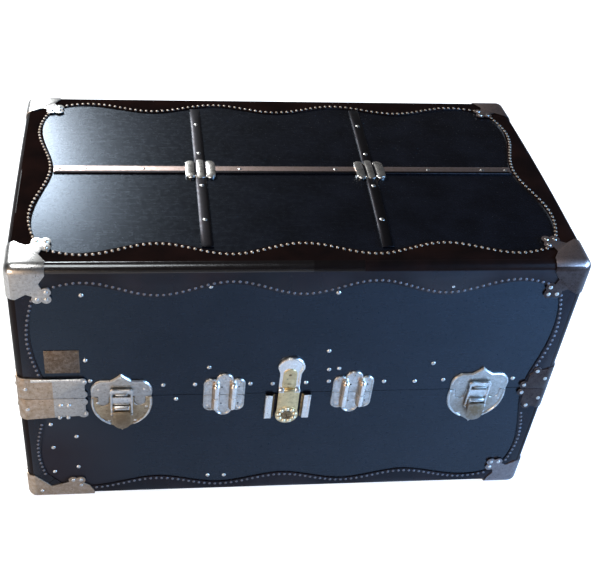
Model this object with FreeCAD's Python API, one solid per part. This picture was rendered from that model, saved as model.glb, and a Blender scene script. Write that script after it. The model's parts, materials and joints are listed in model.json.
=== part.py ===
"""Dome top trunk: a sawn-apart wooden case in black fibre, with scalloped fibre bindings,
pressed corner caps, two shield-shaped draw bolts, a hasp lock and slotted lid stays.

Frame: origin on the floor under the middle of the whole trunk, +Z up, X along the length,
the front with the lock facing -Y and the hinges at +Y. Lengths in millimetres.
"""
import FreeCAD, Part

import os
from math import atan2, cos, hypot, pi, radians, sin, sqrt

# ---------------------------------------------------------------- case
LENGTH = 914.0
DEPTH = 512.0
HEIGHT = 533.0
LID_HEIGHT = 277.0
TOP_RISE = 6.0
EDGE_ROLL = 14.0
SEAM = 1.0
WOOD = 9.0
COVERING = 1.2
BINDING = 1.6
LINING = 0.8
GLUE = 0.1
RIM_STRIP = 2.5
RIM_CLEARANCE = 0.5
RIM_BELOW = 15.0
RIM_ABOVE = 7.0

# ---------------------------------------------------------------- scalloped bindings
NAIL_MARGIN = 5.0
TOP_ROW = (29.0, 55.0)
CORNER_ROW = (24.0, 44.0)
BOTTOM_ROW = (21.0, 42.0)
LONG_SCALLOPS = 4
SHORT_SCALLOPS = 2
POINTS_PER_SCALLOP = 4
MITRE_GAP = 0.4

# ---------------------------------------------------------------- caps and clamps at the corners
CAP_SHEET = 1.8
CAP_FOOT = 4.5
CAP_REACH = 60.0
CAP_WAIST = 50.0
CAP_LUG = 53.0
CAP_LUG_SPREAD = 7.0
CAP_LOBE = 8.0
CAP_NOTCH = 30.0
LONG_CAP_REACH = 117.0
CLAMP_HALF_HEIGHT = 50.0
CLAMP_REACH = 48.0
CLAMP_LOBE = 8.0
LONG_CLAMP_GAP = 9.0

# ---------------------------------------------------------------- metal strips on the top
STRIP_HALF_WIDTH = 10.0
STRIP_SHEET = 2.5
STRIP_END_GAP = 1.0
STRAP_X = {"left": -0.165 * LENGTH, "right": 0.156 * LENGTH}
STRAP_LEAN = {"left": 0.003, "right": 0.043}
STRAP_HALF_WIDTH = 9.0
STRAP_END_GAP = 7.0
CROSSING_HALF_WIDTH = 25.0
CROSSING_HALF_DEPTH = 28.0
CROSSING_COVER = 2.0

# ---------------------------------------------------------------- draw bolts
DRAWBOLT_X = {"left": -0.314 * LENGTH, "right": 0.359 * LENGTH}
BOLT_PLATE = 2.0
BOLT_HALF_WIDTH = 51.0
BOLT_SHOULDER = 38.0
BOLT_PEAK = 53.0
BOLT_POINT = 82.0
BOLT_SIDE_SHARES = ((0.78, 0.62), (0.4, 0.82), (0.2, 0.88))
BOLT_CROWN_SHARES = ((1.0, 0.35), (0.9, 0.79), (0.68, 1.0))
BOLT_CROWN_HALF = 18.0
BOLT_CORNER = 1.0
BOLT_TONGUE = 20.0
BOLT_TONGUE_X = 30.0
BOLT_TONGUE_RADIUS = 9.0
BOLT_JOIN_GAP = 0.6
BOLT_PIVOT_DROP = 20.0
BOLT_PIVOT_OUT = 8.0
BOLT_THROW = 15.0
BOLT_OVERCENTRE = 1.0
BOLT_KNUCKLE = 4.5
BOLT_KNUCKLE_HALF = 12.0
BOLT_PIN = 1.8
BOLT_SIDE_GAP = 0.4
BOLT_CHEEK = 2.2
BOLT_LEVER_SHEET = 2.5
BOLT_LEVER_DROP = 44.0
BOLT_LINK = 3.5
BOLT_WEB_GAP = 1.5
BOLT_NOSE_TOP = 13.0
BOLT_NOSE_OUT = 11.0
BOLT_NOSE_HALF = 10.0
RUNNING_FIT = 0.05
PIECE_GAP = 0.3

# ---------------------------------------------------------------- hasp lock
LOCK_X = -0.0055 * LENGTH
LOCK_HALF_WIDTH = 39.0
LOCK_TOP = 1.5
LOCK_BOTTOM = 57.5
LOCK_SHEET = 1.5
LOCK_WING_OUT = 6.0
LOCK_WING_WIDTH = 12.0
LOCK_CENTRE_DROP = 48.0
HASP_AXIS_RISE = 9.0
HASP_AXIS_OUT = 5.0
HASP_KNUCKLE = 3.6
HASP_PIN = 1.8
HASP_HALF_WIDTH = 18.0
HASP_SHEET = 2.5
HASP_BACKSET = 1.0
HASP_RING = 19.8
HASP_RING_RISE = 1.0
HASP_HEAD_HALF = 23.0
HASP_HEAD_RISE = 84.0
HASP_SHOULDER = 14.0
COLLAR_RADIUS = 9.0
COLLAR_OUT = 9.0
COLLAR_CLEARANCE = 0.6
CYLINDER_RADIUS = 5.5
KEY_SLOT = (1.6, 7.0, 3.0)

# ---------------------------------------------------------------- dowel plates on the front
DOWEL_X = {"left": -0.126 * LENGTH, "right": 0.115 * LENGTH}
DOWEL_HALF_WIDTH = 35.0
DOWEL_HALF_HEIGHT = 49.0
DOWEL_PLATE = 2.0
DOWEL_SPACING = 29.0
DOWEL_TUBE = 7.0
DOWEL_TUBE_LENGTH = 30.0
DOWEL_RADIUS = 3.5
DOWEL_ENTRY = 11.0
DOWEL_CLEARANCE = 0.4

# ---------------------------------------------------------------- hinges at the back
HINGE_X = (-0.328 * LENGTH, 0.0, 0.328 * LENGTH)
HINGE_HALF_WIDTH = 30.0
HINGE_LEAF = 2.0
HINGE_LEAF_HEIGHT = 42.0
HINGE_OUT = 5.5
HINGE_KNUCKLE = 4.8
HINGE_PIN = 2.5
HINGE_KNUCKLES = 5

# ---------------------------------------------------------------- handles on the ends
HANDLE_AXIS_Z = 172.0
HANDLE_AXIS_OUT = 10.0
HANDLE_HALF_SPAN = 95.0
HANDLE_DROP = 50.0
HANDLE_THICKNESS = 9.0
HANDLE_END_WIDTH = 16.0
HANDLE_GRIP = 24.0
HANDLE_PIN = 3.5
HANDLE_LOOP = 7.0
HANDLE_CURVE = 2.0
BRACKET_SHEET = 2.0
BRACKET_EAR = 2.5
BRACKET_MARGIN = 9.0

# ---------------------------------------------------------------- slotted lid stays
STAY_REACH = 150.0
STAY_DROP = 30.0
STAY_SHEET = 2.5
STAY_HALF_WIDTH = 9.0
STAY_STUD = 3.0
STAY_SLOT_CLEARANCE = 0.3
STAY_BRACKET = 2.0
STAY_HEAD = 5.5
STAY_HEAD_SHEET = 1.5
LID_OPENING = 95.0

# ---------------------------------------------------------------- blank plate on the lid
PLATE_INSET = 76.0
PLATE_RISE = 82.0
PLATE_HALF = (28.0, 25.0)
PLATE_SHEET = 1.0

# ---------------------------------------------------------------- places that follow from the sizes
PANEL_DEPTH = BINDING + GLUE
PLATE_X = PLATE_INSET - LENGTH / 2
LEVER_OUT = BOLT_PIVOT_OUT + BOLT_KNUCKLE + PIECE_GAP + BOLT_LEVER_SHEET
FRONT_REACH = LEVER_OUT - PANEL_DEPTH
BACK_REACH = HINGE_OUT + HINGE_KNUCKLE - PANEL_DEPTH
MID_Y = (FRONT_REACH - BACK_REACH) / 2
FRONT_Y = MID_Y - DEPTH / 2
BACK_Y = MID_Y + DEPTH / 2
CASE_BOTTOM = CAP_FOOT
CASE_TOP = CASE_BOTTOM + HEIGHT
SPLIT_Z = CASE_TOP - LID_HEIGHT
PANEL_FRONT = FRONT_Y + PANEL_DEPTH
PANEL_BACK = BACK_Y - PANEL_DEPTH
PANEL_END = LENGTH / 2 - PANEL_DEPTH
WOOD_INSET = PANEL_DEPTH + COVERING + GLUE
LINING_INSET = WOOD_INSET + WOOD + GLUE
INSIDE_INSET = LINING_INSET + LINING
WINDOW_CORNER = NAIL_MARGIN + max(TOP_ROW + CORNER_ROW + BOTTOM_ROW)
HINGE_Y = PANEL_BACK + HINGE_OUT
TOP_RADIUS = ((DEPTH / 2) ** 2 + TOP_RISE ** 2) / (2 * TOP_RISE)
OUTSIDE = 8.0
FAR = LENGTH + DEPTH + HEIGHT


# ---------------------------------------------------------------- drawing helpers
def vector(x, y, z):
    return FreeCAD.Vector(x, y, z)


def block(x_range, y_range, z_range):
    """Box between two values along each axis."""
    corner = vector(min(x_range), min(y_range), min(z_range))
    size = [abs(pair[1] - pair[0]) for pair in (x_range, y_range, z_range)]
    return Part.makeBox(*size, corner)


def rod(radius, start, end):
    """Round bar between two points."""
    span = end - start
    return Part.makeCylinder(radius, span.Length, start, span)


def closed_face(steps, place):
    """Flat face from an outline. A step of four numbers is an arc through its first pair."""
    edges = []
    last = steps[0]
    for step in list(steps[1:]) + [steps[0]]:
        start = place(*last[-2:])
        end = place(*step[-2:])
        if len(step) == 4:
            edges.append(Part.Arc(start, place(*step[:2]), end).toShape())
        elif start.distanceToPoint(end) > GLUE / 10:
            edges.append(Part.LineSegment(start, end).toShape())
        last = step
    return Part.Face(Part.Wire(edges))


def disc(centre, radius, place, direction):
    """Round flat face centred at a place on a panel."""
    return Part.Face(Part.Wire(Part.makeCircle(radius, place(*centre), direction)))


def fused(shapes):
    """One solid from overlapping shapes, without the seams between them."""
    first, *rest = shapes
    return first.multiFuse(rest).removeSplitter() if rest else first


def group(shapes):
    """Separate solids kept side by side."""
    solids = [solid for shape in shapes for solid in shape.Solids]
    return solids[0] if len(solids) == 1 else Part.makeCompound(solids)


def flipped_x(shape, about=0.0):
    return shape.mirror(vector(about, 0, 0), vector(1, 0, 0))


def front_place(at_x, out=0.0):
    """Places on the front panel: x from at_x, height from the seam, out from the panel."""
    return lambda x, rise: vector(at_x + x, PANEL_FRONT - out, SPLIT_Z + rise)


def front_plate(steps, at_x, low, high):
    """Plate on the front, from `low` to `high` out of the panel."""
    face = closed_face(steps, front_place(at_x, low))
    return face.extrude(vector(0, low - high, 0))


def front_disc(centre, radius, at_x, low, high):
    face = disc(centre, radius, front_place(at_x, low), vector(0, -1, 0))
    return face.extrude(vector(0, low - high, 0))


def front_rod(radius, at_x, x_range, out, rise):
    """Round bar along X in front of the panel."""
    return rod(radius,
               vector(at_x + x_range[0], PANEL_FRONT - out, SPLIT_Z + rise),
               vector(at_x + x_range[1], PANEL_FRONT - out, SPLIT_Z + rise))


def above_seam(shape):
    return shape.common(block((-FAR, FAR), (-FAR, FAR), (SPLIT_Z + SEAM / 2, FAR)))


def below_seam(shape):
    return shape.common(block((-FAR, FAR), (-FAR, FAR), (-FAR, SPLIT_Z - SEAM / 2)))


# ---------------------------------------------------------------- the closed case
def arch_height(inset, y):
    """Height of the arched top, `inset` inside its outer face, at a place across the depth."""
    centre = CASE_TOP + TOP_RISE - TOP_RADIUS
    return centre + sqrt((TOP_RADIUS - inset) ** 2 - (y - MID_Y) ** 2)


def plain_form(inset, bottom=None):
    """The closed case with sharp edges, `inset` inside the outer face of the bindings."""
    low = CASE_BOTTOM + inset if bottom is None else bottom
    front, back = FRONT_Y + inset, BACK_Y - inset
    end = LENGTH / 2 - inset
    steps = [(front, low), (back, low), (back, arch_height(inset, back)),
             (MID_Y, arch_height(inset, MID_Y), front, arch_height(inset, front))]
    face = closed_face(steps, lambda y, z: vector(-end, y, z))
    return face.extrude(vector(2 * end, 0, 0))


def rolled_form(inset, bottom=None):
    """The closed case with its edges rolled round."""
    form = plain_form(inset, bottom)
    return form.makeFillet(EDGE_ROLL - inset, form.Edges)


def rolled_skin(inset, thickness):
    return rolled_form(inset).cut(rolled_form(inset + thickness))


def wooden_case():
    return rolled_form(WOOD_INSET).cut(plain_form(WOOD_INSET + WOOD))


def lining_case():
    return plain_form(LINING_INSET).cut(plain_form(INSIDE_INSET))


# ---------------------------------------------------------------- scalloped bindings
def scallop(along, period, row):
    """Width of a binding at a distance along it from the middle of its edge."""
    narrow, wide = row
    return NAIL_MARGIN + narrow + (wide - narrow) * (1 + cos(2 * pi * along / period)) / 2


def scalloped_edge(start, end, period, row, place):
    """One scalloped side of a window, as a smooth curve from start to end."""
    count = max(2, round(abs(end - start) / period * POINTS_PER_SCALLOP))
    points = []
    for index in range(count + 1):
        along = start + (end - start) * index / count
        points.append(place(along, scallop(along, period, row)))
    curve = Part.BSplineCurve()
    curve.interpolate(points)
    return curve.toShape()


def scalloped_window(half_span, waves, low, high, knot, rows, place):
    """Face of the opening that the bindings leave on one side of the case.

    `rows` are the nail rows along the low, end and high edges, and `knot` is the place
    between low and high where the end bindings are widest.
    """
    low_row, end_row, high_row = rows
    period = 2 * half_span / waves
    rise_period = (high - low) / SHORT_SCALLOPS
    reach = half_span - WINDOW_CORNER
    bottom, top = low + WINDOW_CORNER - knot, high - WINDOW_CORNER - knot
    sides = [
        scalloped_edge(-reach, reach, period, low_row, lambda s, w: place(s, low + w)),
        scalloped_edge(bottom, top, rise_period, end_row, lambda t, w: place(half_span - w, knot + t)),
        scalloped_edge(reach, -reach, period, high_row, lambda s, w: place(s, high - w)),
        scalloped_edge(top, bottom, rise_period, end_row, lambda t, w: place(w - half_span, knot + t)),
    ]
    edges = []
    for side, following in zip(sides, sides[1:] + sides[:1]):
        edges.append(side)
        end = side.valueAt(side.LastParameter)
        start = following.valueAt(following.FirstParameter)
        edges.append(Part.LineSegment(end, start).toShape())
    return Part.Face(Part.Wire(edges))


def window_cutters():
    """Six prisms that open the bindings over the panels of the case."""
    through = BINDING + OUTSIDE + TOP_RISE
    half_length, half_depth = LENGTH / 2, DEPTH / 2
    side_rows = (BOTTOM_ROW, CORNER_ROW, TOP_ROW)
    front = scalloped_window(half_length, LONG_SCALLOPS, CASE_BOTTOM, CASE_TOP, SPLIT_Z, side_rows,
                             lambda s, t: vector(s, FRONT_Y - OUTSIDE, t))
    end = scalloped_window(half_depth, SHORT_SCALLOPS, CASE_BOTTOM, CASE_TOP, SPLIT_Z, side_rows,
                           lambda s, t: vector(half_length + OUTSIDE, MID_Y + s, t))
    floor = scalloped_window(half_length, LONG_SCALLOPS, -half_depth, half_depth, 0, [BOTTOM_ROW] * 3,
                             lambda s, t: vector(s, MID_Y + t, CASE_BOTTOM - OUTSIDE))
    top = scalloped_window(half_length, LONG_SCALLOPS, -half_depth, half_depth, 0, [TOP_ROW] * 3,
                           lambda s, t: vector(s, MID_Y + t, CASE_TOP - OUTSIDE))
    end_prism = end.extrude(vector(-through, 0, 0))
    front_prism = front.extrude(vector(0, through, 0))
    back_prism = front_prism.mirror(vector(0, MID_Y, 0), vector(0, 1, 0))
    return [front_prism, back_prism, end_prism, flipped_x(end_prism),
            floor.extrude(vector(0, 0, through)),
            top.extrude(vector(0, 0, through + OUTSIDE))]


def corner_place(side_x, side_y, side_z, normal, depth):
    """Places on one of the three faces that meet at a corner of the case."""
    def place(first, second):
        inset = {"x": (depth, first, second), "y": (first, depth, second), "z": (first, second, depth)}
        u, v, w = inset[normal]
        height = CASE_TOP - w if side_z > 0 else CASE_BOTTOM + w
        return vector(side_x * (LENGTH / 2 - u), MID_Y + side_y * (DEPTH / 2 - v), height)
    return place


def corner_prism(sides, normal, faces_at):
    """Prism through the skin of the case at a corner, from a function that draws its faces."""
    outer = corner_place(*sides, normal, -OUTSIDE)
    inner = corner_place(*sides, normal, EDGE_ROLL + GLUE)
    direction = inner(0, 0) - outer(0, 0)
    return [face.extrude(direction) for face in faces_at(outer, direction)]


def all_corners(side_z):
    return [(side_x, side_y, side_z) for side_x in (-1, 1) for side_y in (-1, 1)]


def mitre_cutters():
    """Thin slots along the diagonals of the corners, where the binding strips meet."""
    half_gap = MITRE_GAP / sqrt(2)
    long = 2 * WINDOW_CORNER
    steps = [(-OUTSIDE - half_gap, -OUTSIDE + half_gap), (-OUTSIDE + half_gap, -OUTSIDE - half_gap),
             (long + half_gap, long - half_gap), (long - half_gap, long + half_gap)]

    def draw(place, _):
        return [closed_face(steps, place)]
    slots = []
    for sides in all_corners(-1) + all_corners(1):
        for normal in "xyz":
            slots += corner_prism(sides, normal, draw)
    return slots


def binding_strips():
    """Every binding strip of the case, mitred at the corners."""
    skin = rolled_skin(0, BINDING).cut(window_cutters())
    return skin.cut(mitre_cutters())


def upright(solid):
    """True for a strip that runs up a corner of the case."""
    return max(solid.BoundBox.XLength, solid.BoundBox.YLength) < 2 * WINDOW_CORNER


# ---------------------------------------------------------------- corner caps and seam clamps
def cap_faces(reach_first, reach_second, lug, notch_first, notch_second):
    """Function that draws one face of a cap: a plate with a three-lobed lug on the diagonal."""
    lobes = [(lug[0] + CAP_LUG_SPREAD, lug[1] + CAP_LUG_SPREAD),
             (lug[0] + CAP_LUG_SPREAD, lug[1] - CAP_LUG_SPREAD),
             (lug[0] - CAP_LUG_SPREAD, lug[1] + CAP_LUG_SPREAD)]
    steps = [(-OUTSIDE, -OUTSIDE), (reach_first, -OUTSIDE), (reach_first, EDGE_ROLL), notch_first,
             (lug[0] + CAP_LUG_SPREAD, lug[1]), (lug[0], lug[1] + CAP_LUG_SPREAD), notch_second,
             (EDGE_ROLL, reach_second), (-OUTSIDE, reach_second)]

    def draw(place, direction):
        return [closed_face(steps, place)] + [disc(lobe, CAP_LOBE, place, direction) for lobe in lobes]
    return draw


def corner_cap(skin, sides, long_front=False):
    """Pressed cap over one corner of the case."""
    square = cap_faces(CAP_REACH, CAP_REACH, (CAP_LUG, CAP_LUG),
                       (CAP_WAIST, CAP_NOTCH), (CAP_NOTCH, CAP_WAIST))
    long = cap_faces(LONG_CAP_REACH, CAP_REACH, (LONG_CAP_REACH - CAP_NOTCH, CAP_NOTCH + CAP_LOBE),
                     (LONG_CAP_REACH - CAP_LOBE, CAP_NOTCH), (CAP_WAIST - CAP_LOBE, CAP_NOTCH))
    drawings = {"x": square, "y": long if long_front else square, "z": long if long_front else square}
    prisms = []
    for normal, draw in drawings.items():
        prisms += corner_prism(sides, normal, draw)
    return skin.common(fused(prisms))


def top_caps():
    skin = rolled_skin(-GLUE - CAP_SHEET, CAP_SHEET)
    return group([corner_cap(skin, sides) for sides in all_corners(1)])


def bottom_caps():
    """The bottom caps are thick underneath and carry the trunk on the floor."""
    skin = rolled_form(-GLUE - CAP_SHEET, bottom=0).cut(rolled_form(-GLUE))
    return group([corner_cap(skin, sides, long_front=(sides == (-1, -1, -1)))
                  for sides in all_corners(-1)])


def clamp_drawing(reach, lobes):
    """Function that draws one face of a seam clamp, with round lobes above and below the seam."""
    half = CLAMP_HALF_HEIGHT
    steps = [(-OUTSIDE, -half), (reach - CLAMP_LOBE, CLAMP_LOBE - half), (reach, 2 * CLAMP_LOBE - half),
             (reach, half - 2 * CLAMP_LOBE), (reach - CLAMP_LOBE, half - CLAMP_LOBE), (-OUTSIDE, half)]

    def draw(place, direction):
        faces = [closed_face(steps, place)]
        for along, rise in lobes:
            faces += [disc((along, rise), CLAMP_LOBE, place, direction),
                      disc((along, -rise), CLAMP_LOBE, place, direction)]
        return faces
    return draw


def at_seam(draw):
    """The same drawing, with its heights counted from the seam and not from the top."""
    def draw_there(place, direction):
        return draw(lambda along, rise: place(along, LID_HEIGHT - rise), direction)
    return draw_there


def seam_clamps():
    """Clamps round the four upright corners at the seam, still joined across the seam."""
    skin = rolled_skin(-GLUE - CAP_SHEET, CAP_SHEET)
    stepped = clamp_drawing(CLAMP_REACH - CLAMP_LOBE / 2, [(CLAMP_REACH, CLAMP_LOBE + SEAM),
                                                           (CLAMP_REACH - 2 * CLAMP_LOBE,
                                                            CLAMP_HALF_HEIGHT - CLAMP_LOBE)])
    long_reach = LENGTH / 2 + DRAWBOLT_X["left"] - BOLT_HALF_WIDTH - LONG_CLAMP_GAP
    long_lobe = long_reach - CLAMP_LOBE / 2
    long = clamp_drawing(long_reach, [(long_lobe, CLAMP_LOBE + SEAM),
                                      (long_lobe, CLAMP_HALF_HEIGHT - 1.5 * CLAMP_LOBE)])
    clamps = []
    for sides in all_corners(1):
        front_draw = long if sides == (-1, -1, 1) else stepped
        prisms = corner_prism(sides, "x", at_seam(stepped)) + corner_prism(sides, "y", at_seam(front_draw))
        clamps.append(skin.common(fused(prisms)))
    return group(clamps)


# ---------------------------------------------------------------- strips on the arched top
def top_layer(steps, low, high):
    """Piece on the arched top from a plan outline, between two heights over the covering."""
    face = closed_face(steps, lambda x, y: vector(x, MID_Y + y, CASE_TOP - OUTSIDE))
    column = face.extrude(vector(0, 0, 3 * OUTSIDE + TOP_RISE))
    layer = plain_form(PANEL_DEPTH - high).cut(plain_form(PANEL_DEPTH - low))
    return layer.common(column)


def rectangle(x_range, y_range):
    return [(x_range[0], y_range[0]), (x_range[1], y_range[0]),
            (x_range[1], y_range[1]), (x_range[0], y_range[1])]


def centre_strip():
    end = LENGTH / 2 - scallop(0, DEPTH / SHORT_SCALLOPS, TOP_ROW) - STRIP_END_GAP
    return top_layer(rectangle((-end, end), (-STRIP_HALF_WIDTH, STRIP_HALF_WIDTH)),
                     GLUE, GLUE + STRIP_SHEET)


def strap_outline(side, half_width, y_range):
    """Plan of a length of strap, which leans a little out of square with the centre strip."""
    def across(edge, y):
        return (STRAP_X[side] + edge * half_width + STRAP_LEAN[side] * y, y)
    near, far = y_range
    return [across(-1, near), across(1, near), across(1, far), across(-1, far)]


def cross_straps():
    """Four strap lengths, from the centre strip to the bindings."""
    start = STRIP_HALF_WIDTH + PIECE_GAP
    straps = []
    for side, middle in STRAP_X.items():
        end = DEPTH / 2 - scallop(middle, LENGTH / LONG_SCALLOPS, TOP_ROW) - STRAP_END_GAP
        for y_range in ((-end, -start), (start, end)):
            straps.append(top_layer(strap_outline(side, STRAP_HALF_WIDTH, y_range),
                                    GLUE, GLUE + STRIP_SHEET))
    return group(straps)


def crossing_clamps():
    """Six-lobed clamps over the places where the straps meet the centre strip."""
    lobe = CROSSING_HALF_WIDTH / 3
    half_y = CROSSING_HALF_DEPTH - lobe
    low, high = GLUE, GLUE + STRIP_SHEET + CROSSING_COVER
    strip_top = GLUE + STRIP_SHEET + GLUE
    channel = rectangle((-FAR, FAR), (-STRIP_HALF_WIDTH - PIECE_GAP, STRIP_HALF_WIDTH + PIECE_GAP))
    clamps = []
    for side, centre in STRAP_X.items():
        steps = rectangle((centre - CROSSING_HALF_WIDTH + GLUE, centre + CROSSING_HALF_WIDTH - GLUE),
                          (-half_y + lobe / 2, half_y - lobe / 2))
        pieces = [top_layer(steps, low, high)]
        for column in (-1, 0, 1):
            middle = centre + column * (CROSSING_HALF_WIDTH - lobe)
            reach = half_y if column == 0 else half_y - lobe / 2
            for side_y in (-1, 1):
                edge = side_y * reach
                outline = [(middle - lobe, 0), (middle - lobe, edge),
                           (middle, edge + side_y * lobe, middle + lobe, edge), (middle + lobe, 0)]
                pieces.append(top_layer(outline, low, high))
        strap = strap_outline(side, STRAP_HALF_WIDTH + PIECE_GAP, (-DEPTH / 2, DEPTH / 2))
        clamps.append(fused(pieces).cut([top_layer(channel, 0, strip_top), top_layer(strap, 0, strip_top)]))
    return group(clamps)


# ---------------------------------------------------------------- draw bolts
def bolt_axes():
    """Rise and way out of the lever's pivot and of the link's pivot, with the bolt closed."""
    lever = (-BOLT_PIVOT_DROP, BOLT_PIVOT_OUT)
    link = (-BOLT_PIVOT_DROP - BOLT_THROW, BOLT_PIVOT_OUT - BOLT_OVERCENTRE)
    return lever, link


def side_plate(steps, at_x, x_range):
    """Plate standing square to the front, from an outline of (out, rise) steps."""
    face = closed_face(steps, lambda out, rise: vector(at_x + x_range[0], PANEL_FRONT - out, SPLIT_Z + rise))
    return face.extrude(vector(x_range[1] - x_range[0], 0, 0))


def tongue_outline(extra):
    """Round-ended tongue of the lid's shield, or with `extra` its pocket in the lower shield."""
    half = BOLT_TONGUE_RADIUS + extra
    low = BOLT_TONGUE_RADIUS - BOLT_TONGUE
    return [(BOLT_TONGUE_X - half, SEAM), (BOLT_TONGUE_X - half, low),
            (BOLT_TONGUE_X, low - half, BOLT_TONGUE_X + half, low), (BOLT_TONGUE_X + half, SEAM)]


def drawbolt_plate(at_x):
    """Lower shield with the knuckle that carries the lever."""
    half, edge = BOLT_HALF_WIDTH, BOLT_HALF_WIDTH - BOLT_CORNER
    top = -SEAM / 2
    belly, waist, throat = [(across * half, -down * BOLT_POINT) for across, down in BOLT_SIDE_SHARES]
    steps = [(0, top), (edge, top), (half, top - half / 8, edge, -half / 2),
             belly + waist, throat + (0, -BOLT_POINT)]
    right = front_plate(steps, at_x, GLUE, BOLT_PLATE)
    right = right.cut(front_plate(tongue_outline(BOLT_JOIN_GAP), at_x, 0, 2 * BOLT_PLATE))
    (rise, out), _ = bolt_axes()
    web = [(GLUE, rise - BOLT_KNUCKLE), (out, rise - BOLT_KNUCKLE), (out, rise), (GLUE, rise + BOLT_KNUCKLE)]
    knuckle = fused([
        front_rod(BOLT_KNUCKLE, at_x, (-BOLT_KNUCKLE_HALF, BOLT_KNUCKLE_HALF), out, rise),
        side_plate(web, at_x, (-BOLT_KNUCKLE_HALF, BOLT_KNUCKLE_HALF)),
    ])
    bore = front_rod(BOLT_PIN + RUNNING_FIT, at_x, (-BOLT_HALF_WIDTH, BOLT_HALF_WIDTH), out, rise)
    return fused([right, flipped_x(right, at_x), knuckle]).cut(bore)


def drawbolt_pin(at_x):
    """Pin through the knuckle, riveted outside the lever's cheeks."""
    (rise, out), _ = bolt_axes()
    half = BOLT_KNUCKLE_HALF + BOLT_SIDE_GAP + BOLT_CHEEK
    return front_rod(BOLT_PIN, at_x, (-half, half), out, rise)


def drawbolt_lever(at_x):
    """Lever: a rounded handle plate with two cheeks that turn on the pin."""
    (rise, out), (link_rise, link_out) = bolt_axes()
    inner = BOLT_KNUCKLE_HALF + BOLT_SIDE_GAP
    outer = inner + BOLT_CHEEK
    plate_low = out + BOLT_KNUCKLE + PIECE_GAP
    plate_high = plate_low + BOLT_LEVER_SHEET
    plate_top = rise - BOLT_KNUCKLE
    tip = rise - BOLT_LEVER_DROP
    handle = front_plate([(-outer, plate_top), (outer, plate_top), (outer, tip + outer),
                          (0, tip, -outer, tip + outer)], at_x, plate_low, plate_high)
    back, link_back = out - BOLT_KNUCKLE, link_out - BOLT_KNUCKLE
    cheek_steps = [(out, rise + BOLT_KNUCKLE), (out + BOLT_KNUCKLE, rise, plate_low, plate_top),
                   (plate_high, plate_top), (plate_high, link_rise - BOLT_KNUCKLE),
                   (link_out, link_rise - BOLT_KNUCKLE),
                   (link_back, link_rise, link_back + SEAM, link_rise + BOLT_KNUCKLE),
                   (back + SEAM, rise - BOLT_KNUCKLE), (back, rise, out, rise + BOLT_KNUCKLE)]
    cheek = side_plate(cheek_steps, at_x, (inner, outer))
    reach = outer + BOLT_SIDE_GAP + BOLT_LINK
    bores = [front_rod(BOLT_PIN + RUNNING_FIT, at_x, (-reach, reach), out, rise),
             front_rod(BOLT_PIN, at_x, (-reach, reach), link_out, link_rise)]
    return fused([handle, cheek, flipped_x(cheek, at_x)]).cut(bores)


def drawbolt_link_studs(at_x):
    """Two studs in the lever's cheeks on which the link turns."""
    _, (rise, out) = bolt_axes()
    inner = BOLT_KNUCKLE_HALF + BOLT_SIDE_GAP
    outer = inner + BOLT_CHEEK + BOLT_SIDE_GAP + BOLT_LINK
    return group([front_rod(BOLT_PIN, at_x, (side * inner, side * outer), out, rise) for side in (-1, 1)])


def drawbolt_link(at_x):
    """Link: a stirrup whose arched bar hooks over the nose on the lid, with a web below the nose."""
    (lever_rise, _), (rise, out) = bolt_axes()
    inner = BOLT_KNUCKLE_HALF + 2 * BOLT_SIDE_GAP + BOLT_CHEEK
    outer = inner + BOLT_LINK
    bar = BOLT_NOSE_TOP + PIECE_GAP
    corner = inner / 2
    crown = bar + corner + BOLT_CORNER
    low, high = out - BOLT_LINK / 2, out + BOLT_LINK / 2
    steps = [(inner, rise), (outer, rise), (outer, bar),
             (outer - BOLT_CORNER, bar + corner, inner - corner / 2, crown), (0, crown)]
    inside = [(0, bar), (inner - BOLT_CORNER, bar), (inner, bar - BOLT_CORNER)]
    half = front_plate(steps + inside, at_x, low, high)
    eye = front_rod(BOLT_PIN + BOLT_LINK / 2, at_x, (inner, outer), out, rise)
    side = fused([half, eye])
    web = front_plate(rectangle((-inner, inner), (lever_rise + BOLT_KNUCKLE + BOLT_WEB_GAP,
                                                  BOLT_NOSE_TOP - BOLT_NOSE_HALF)), at_x, low, out)
    bore = front_rod(BOLT_PIN + RUNNING_FIT, at_x, (-2 * outer, 2 * outer), out, rise)
    return fused([side, flipped_x(side, at_x), web]).cut(bore)


def drawbolt_catch(at_x):
    """Upper shield on the lid, with its two tongues and the nose that the link pulls on."""
    half, edge = BOLT_HALF_WIDTH, BOLT_HALF_WIDTH - BOLT_CORNER
    side, bend, shoulder = [(across * half, up * BOLT_SHOULDER) for across, up in BOLT_CROWN_SHARES]
    hollow = (BOLT_CROWN_HALF / 2, (BOLT_SHOULDER + BOLT_PEAK) / 2 - BOLT_CORNER)
    steps = [(0, SEAM / 2), (edge, SEAM / 2), side, bend + shoulder,
             (BOLT_CROWN_HALF, BOLT_SHOULDER), hollow + (0, BOLT_PEAK)]
    right = fused([front_plate(steps, at_x, GLUE, BOLT_PLATE),
                   front_plate(tongue_outline(0), at_x, GLUE, BOLT_PLATE)])
    nose_steps = [(GLUE, BOLT_NOSE_TOP - BOLT_NOSE_HALF), (BOLT_NOSE_OUT, BOLT_NOSE_TOP - BOLT_PLATE),
                  (BOLT_NOSE_OUT, BOLT_NOSE_TOP), (GLUE, BOLT_NOSE_TOP)]
    nose = side_plate(nose_steps, at_x, (-BOLT_NOSE_HALF, BOLT_NOSE_HALF))
    return fused([right, flipped_x(right, at_x), nose])


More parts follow.
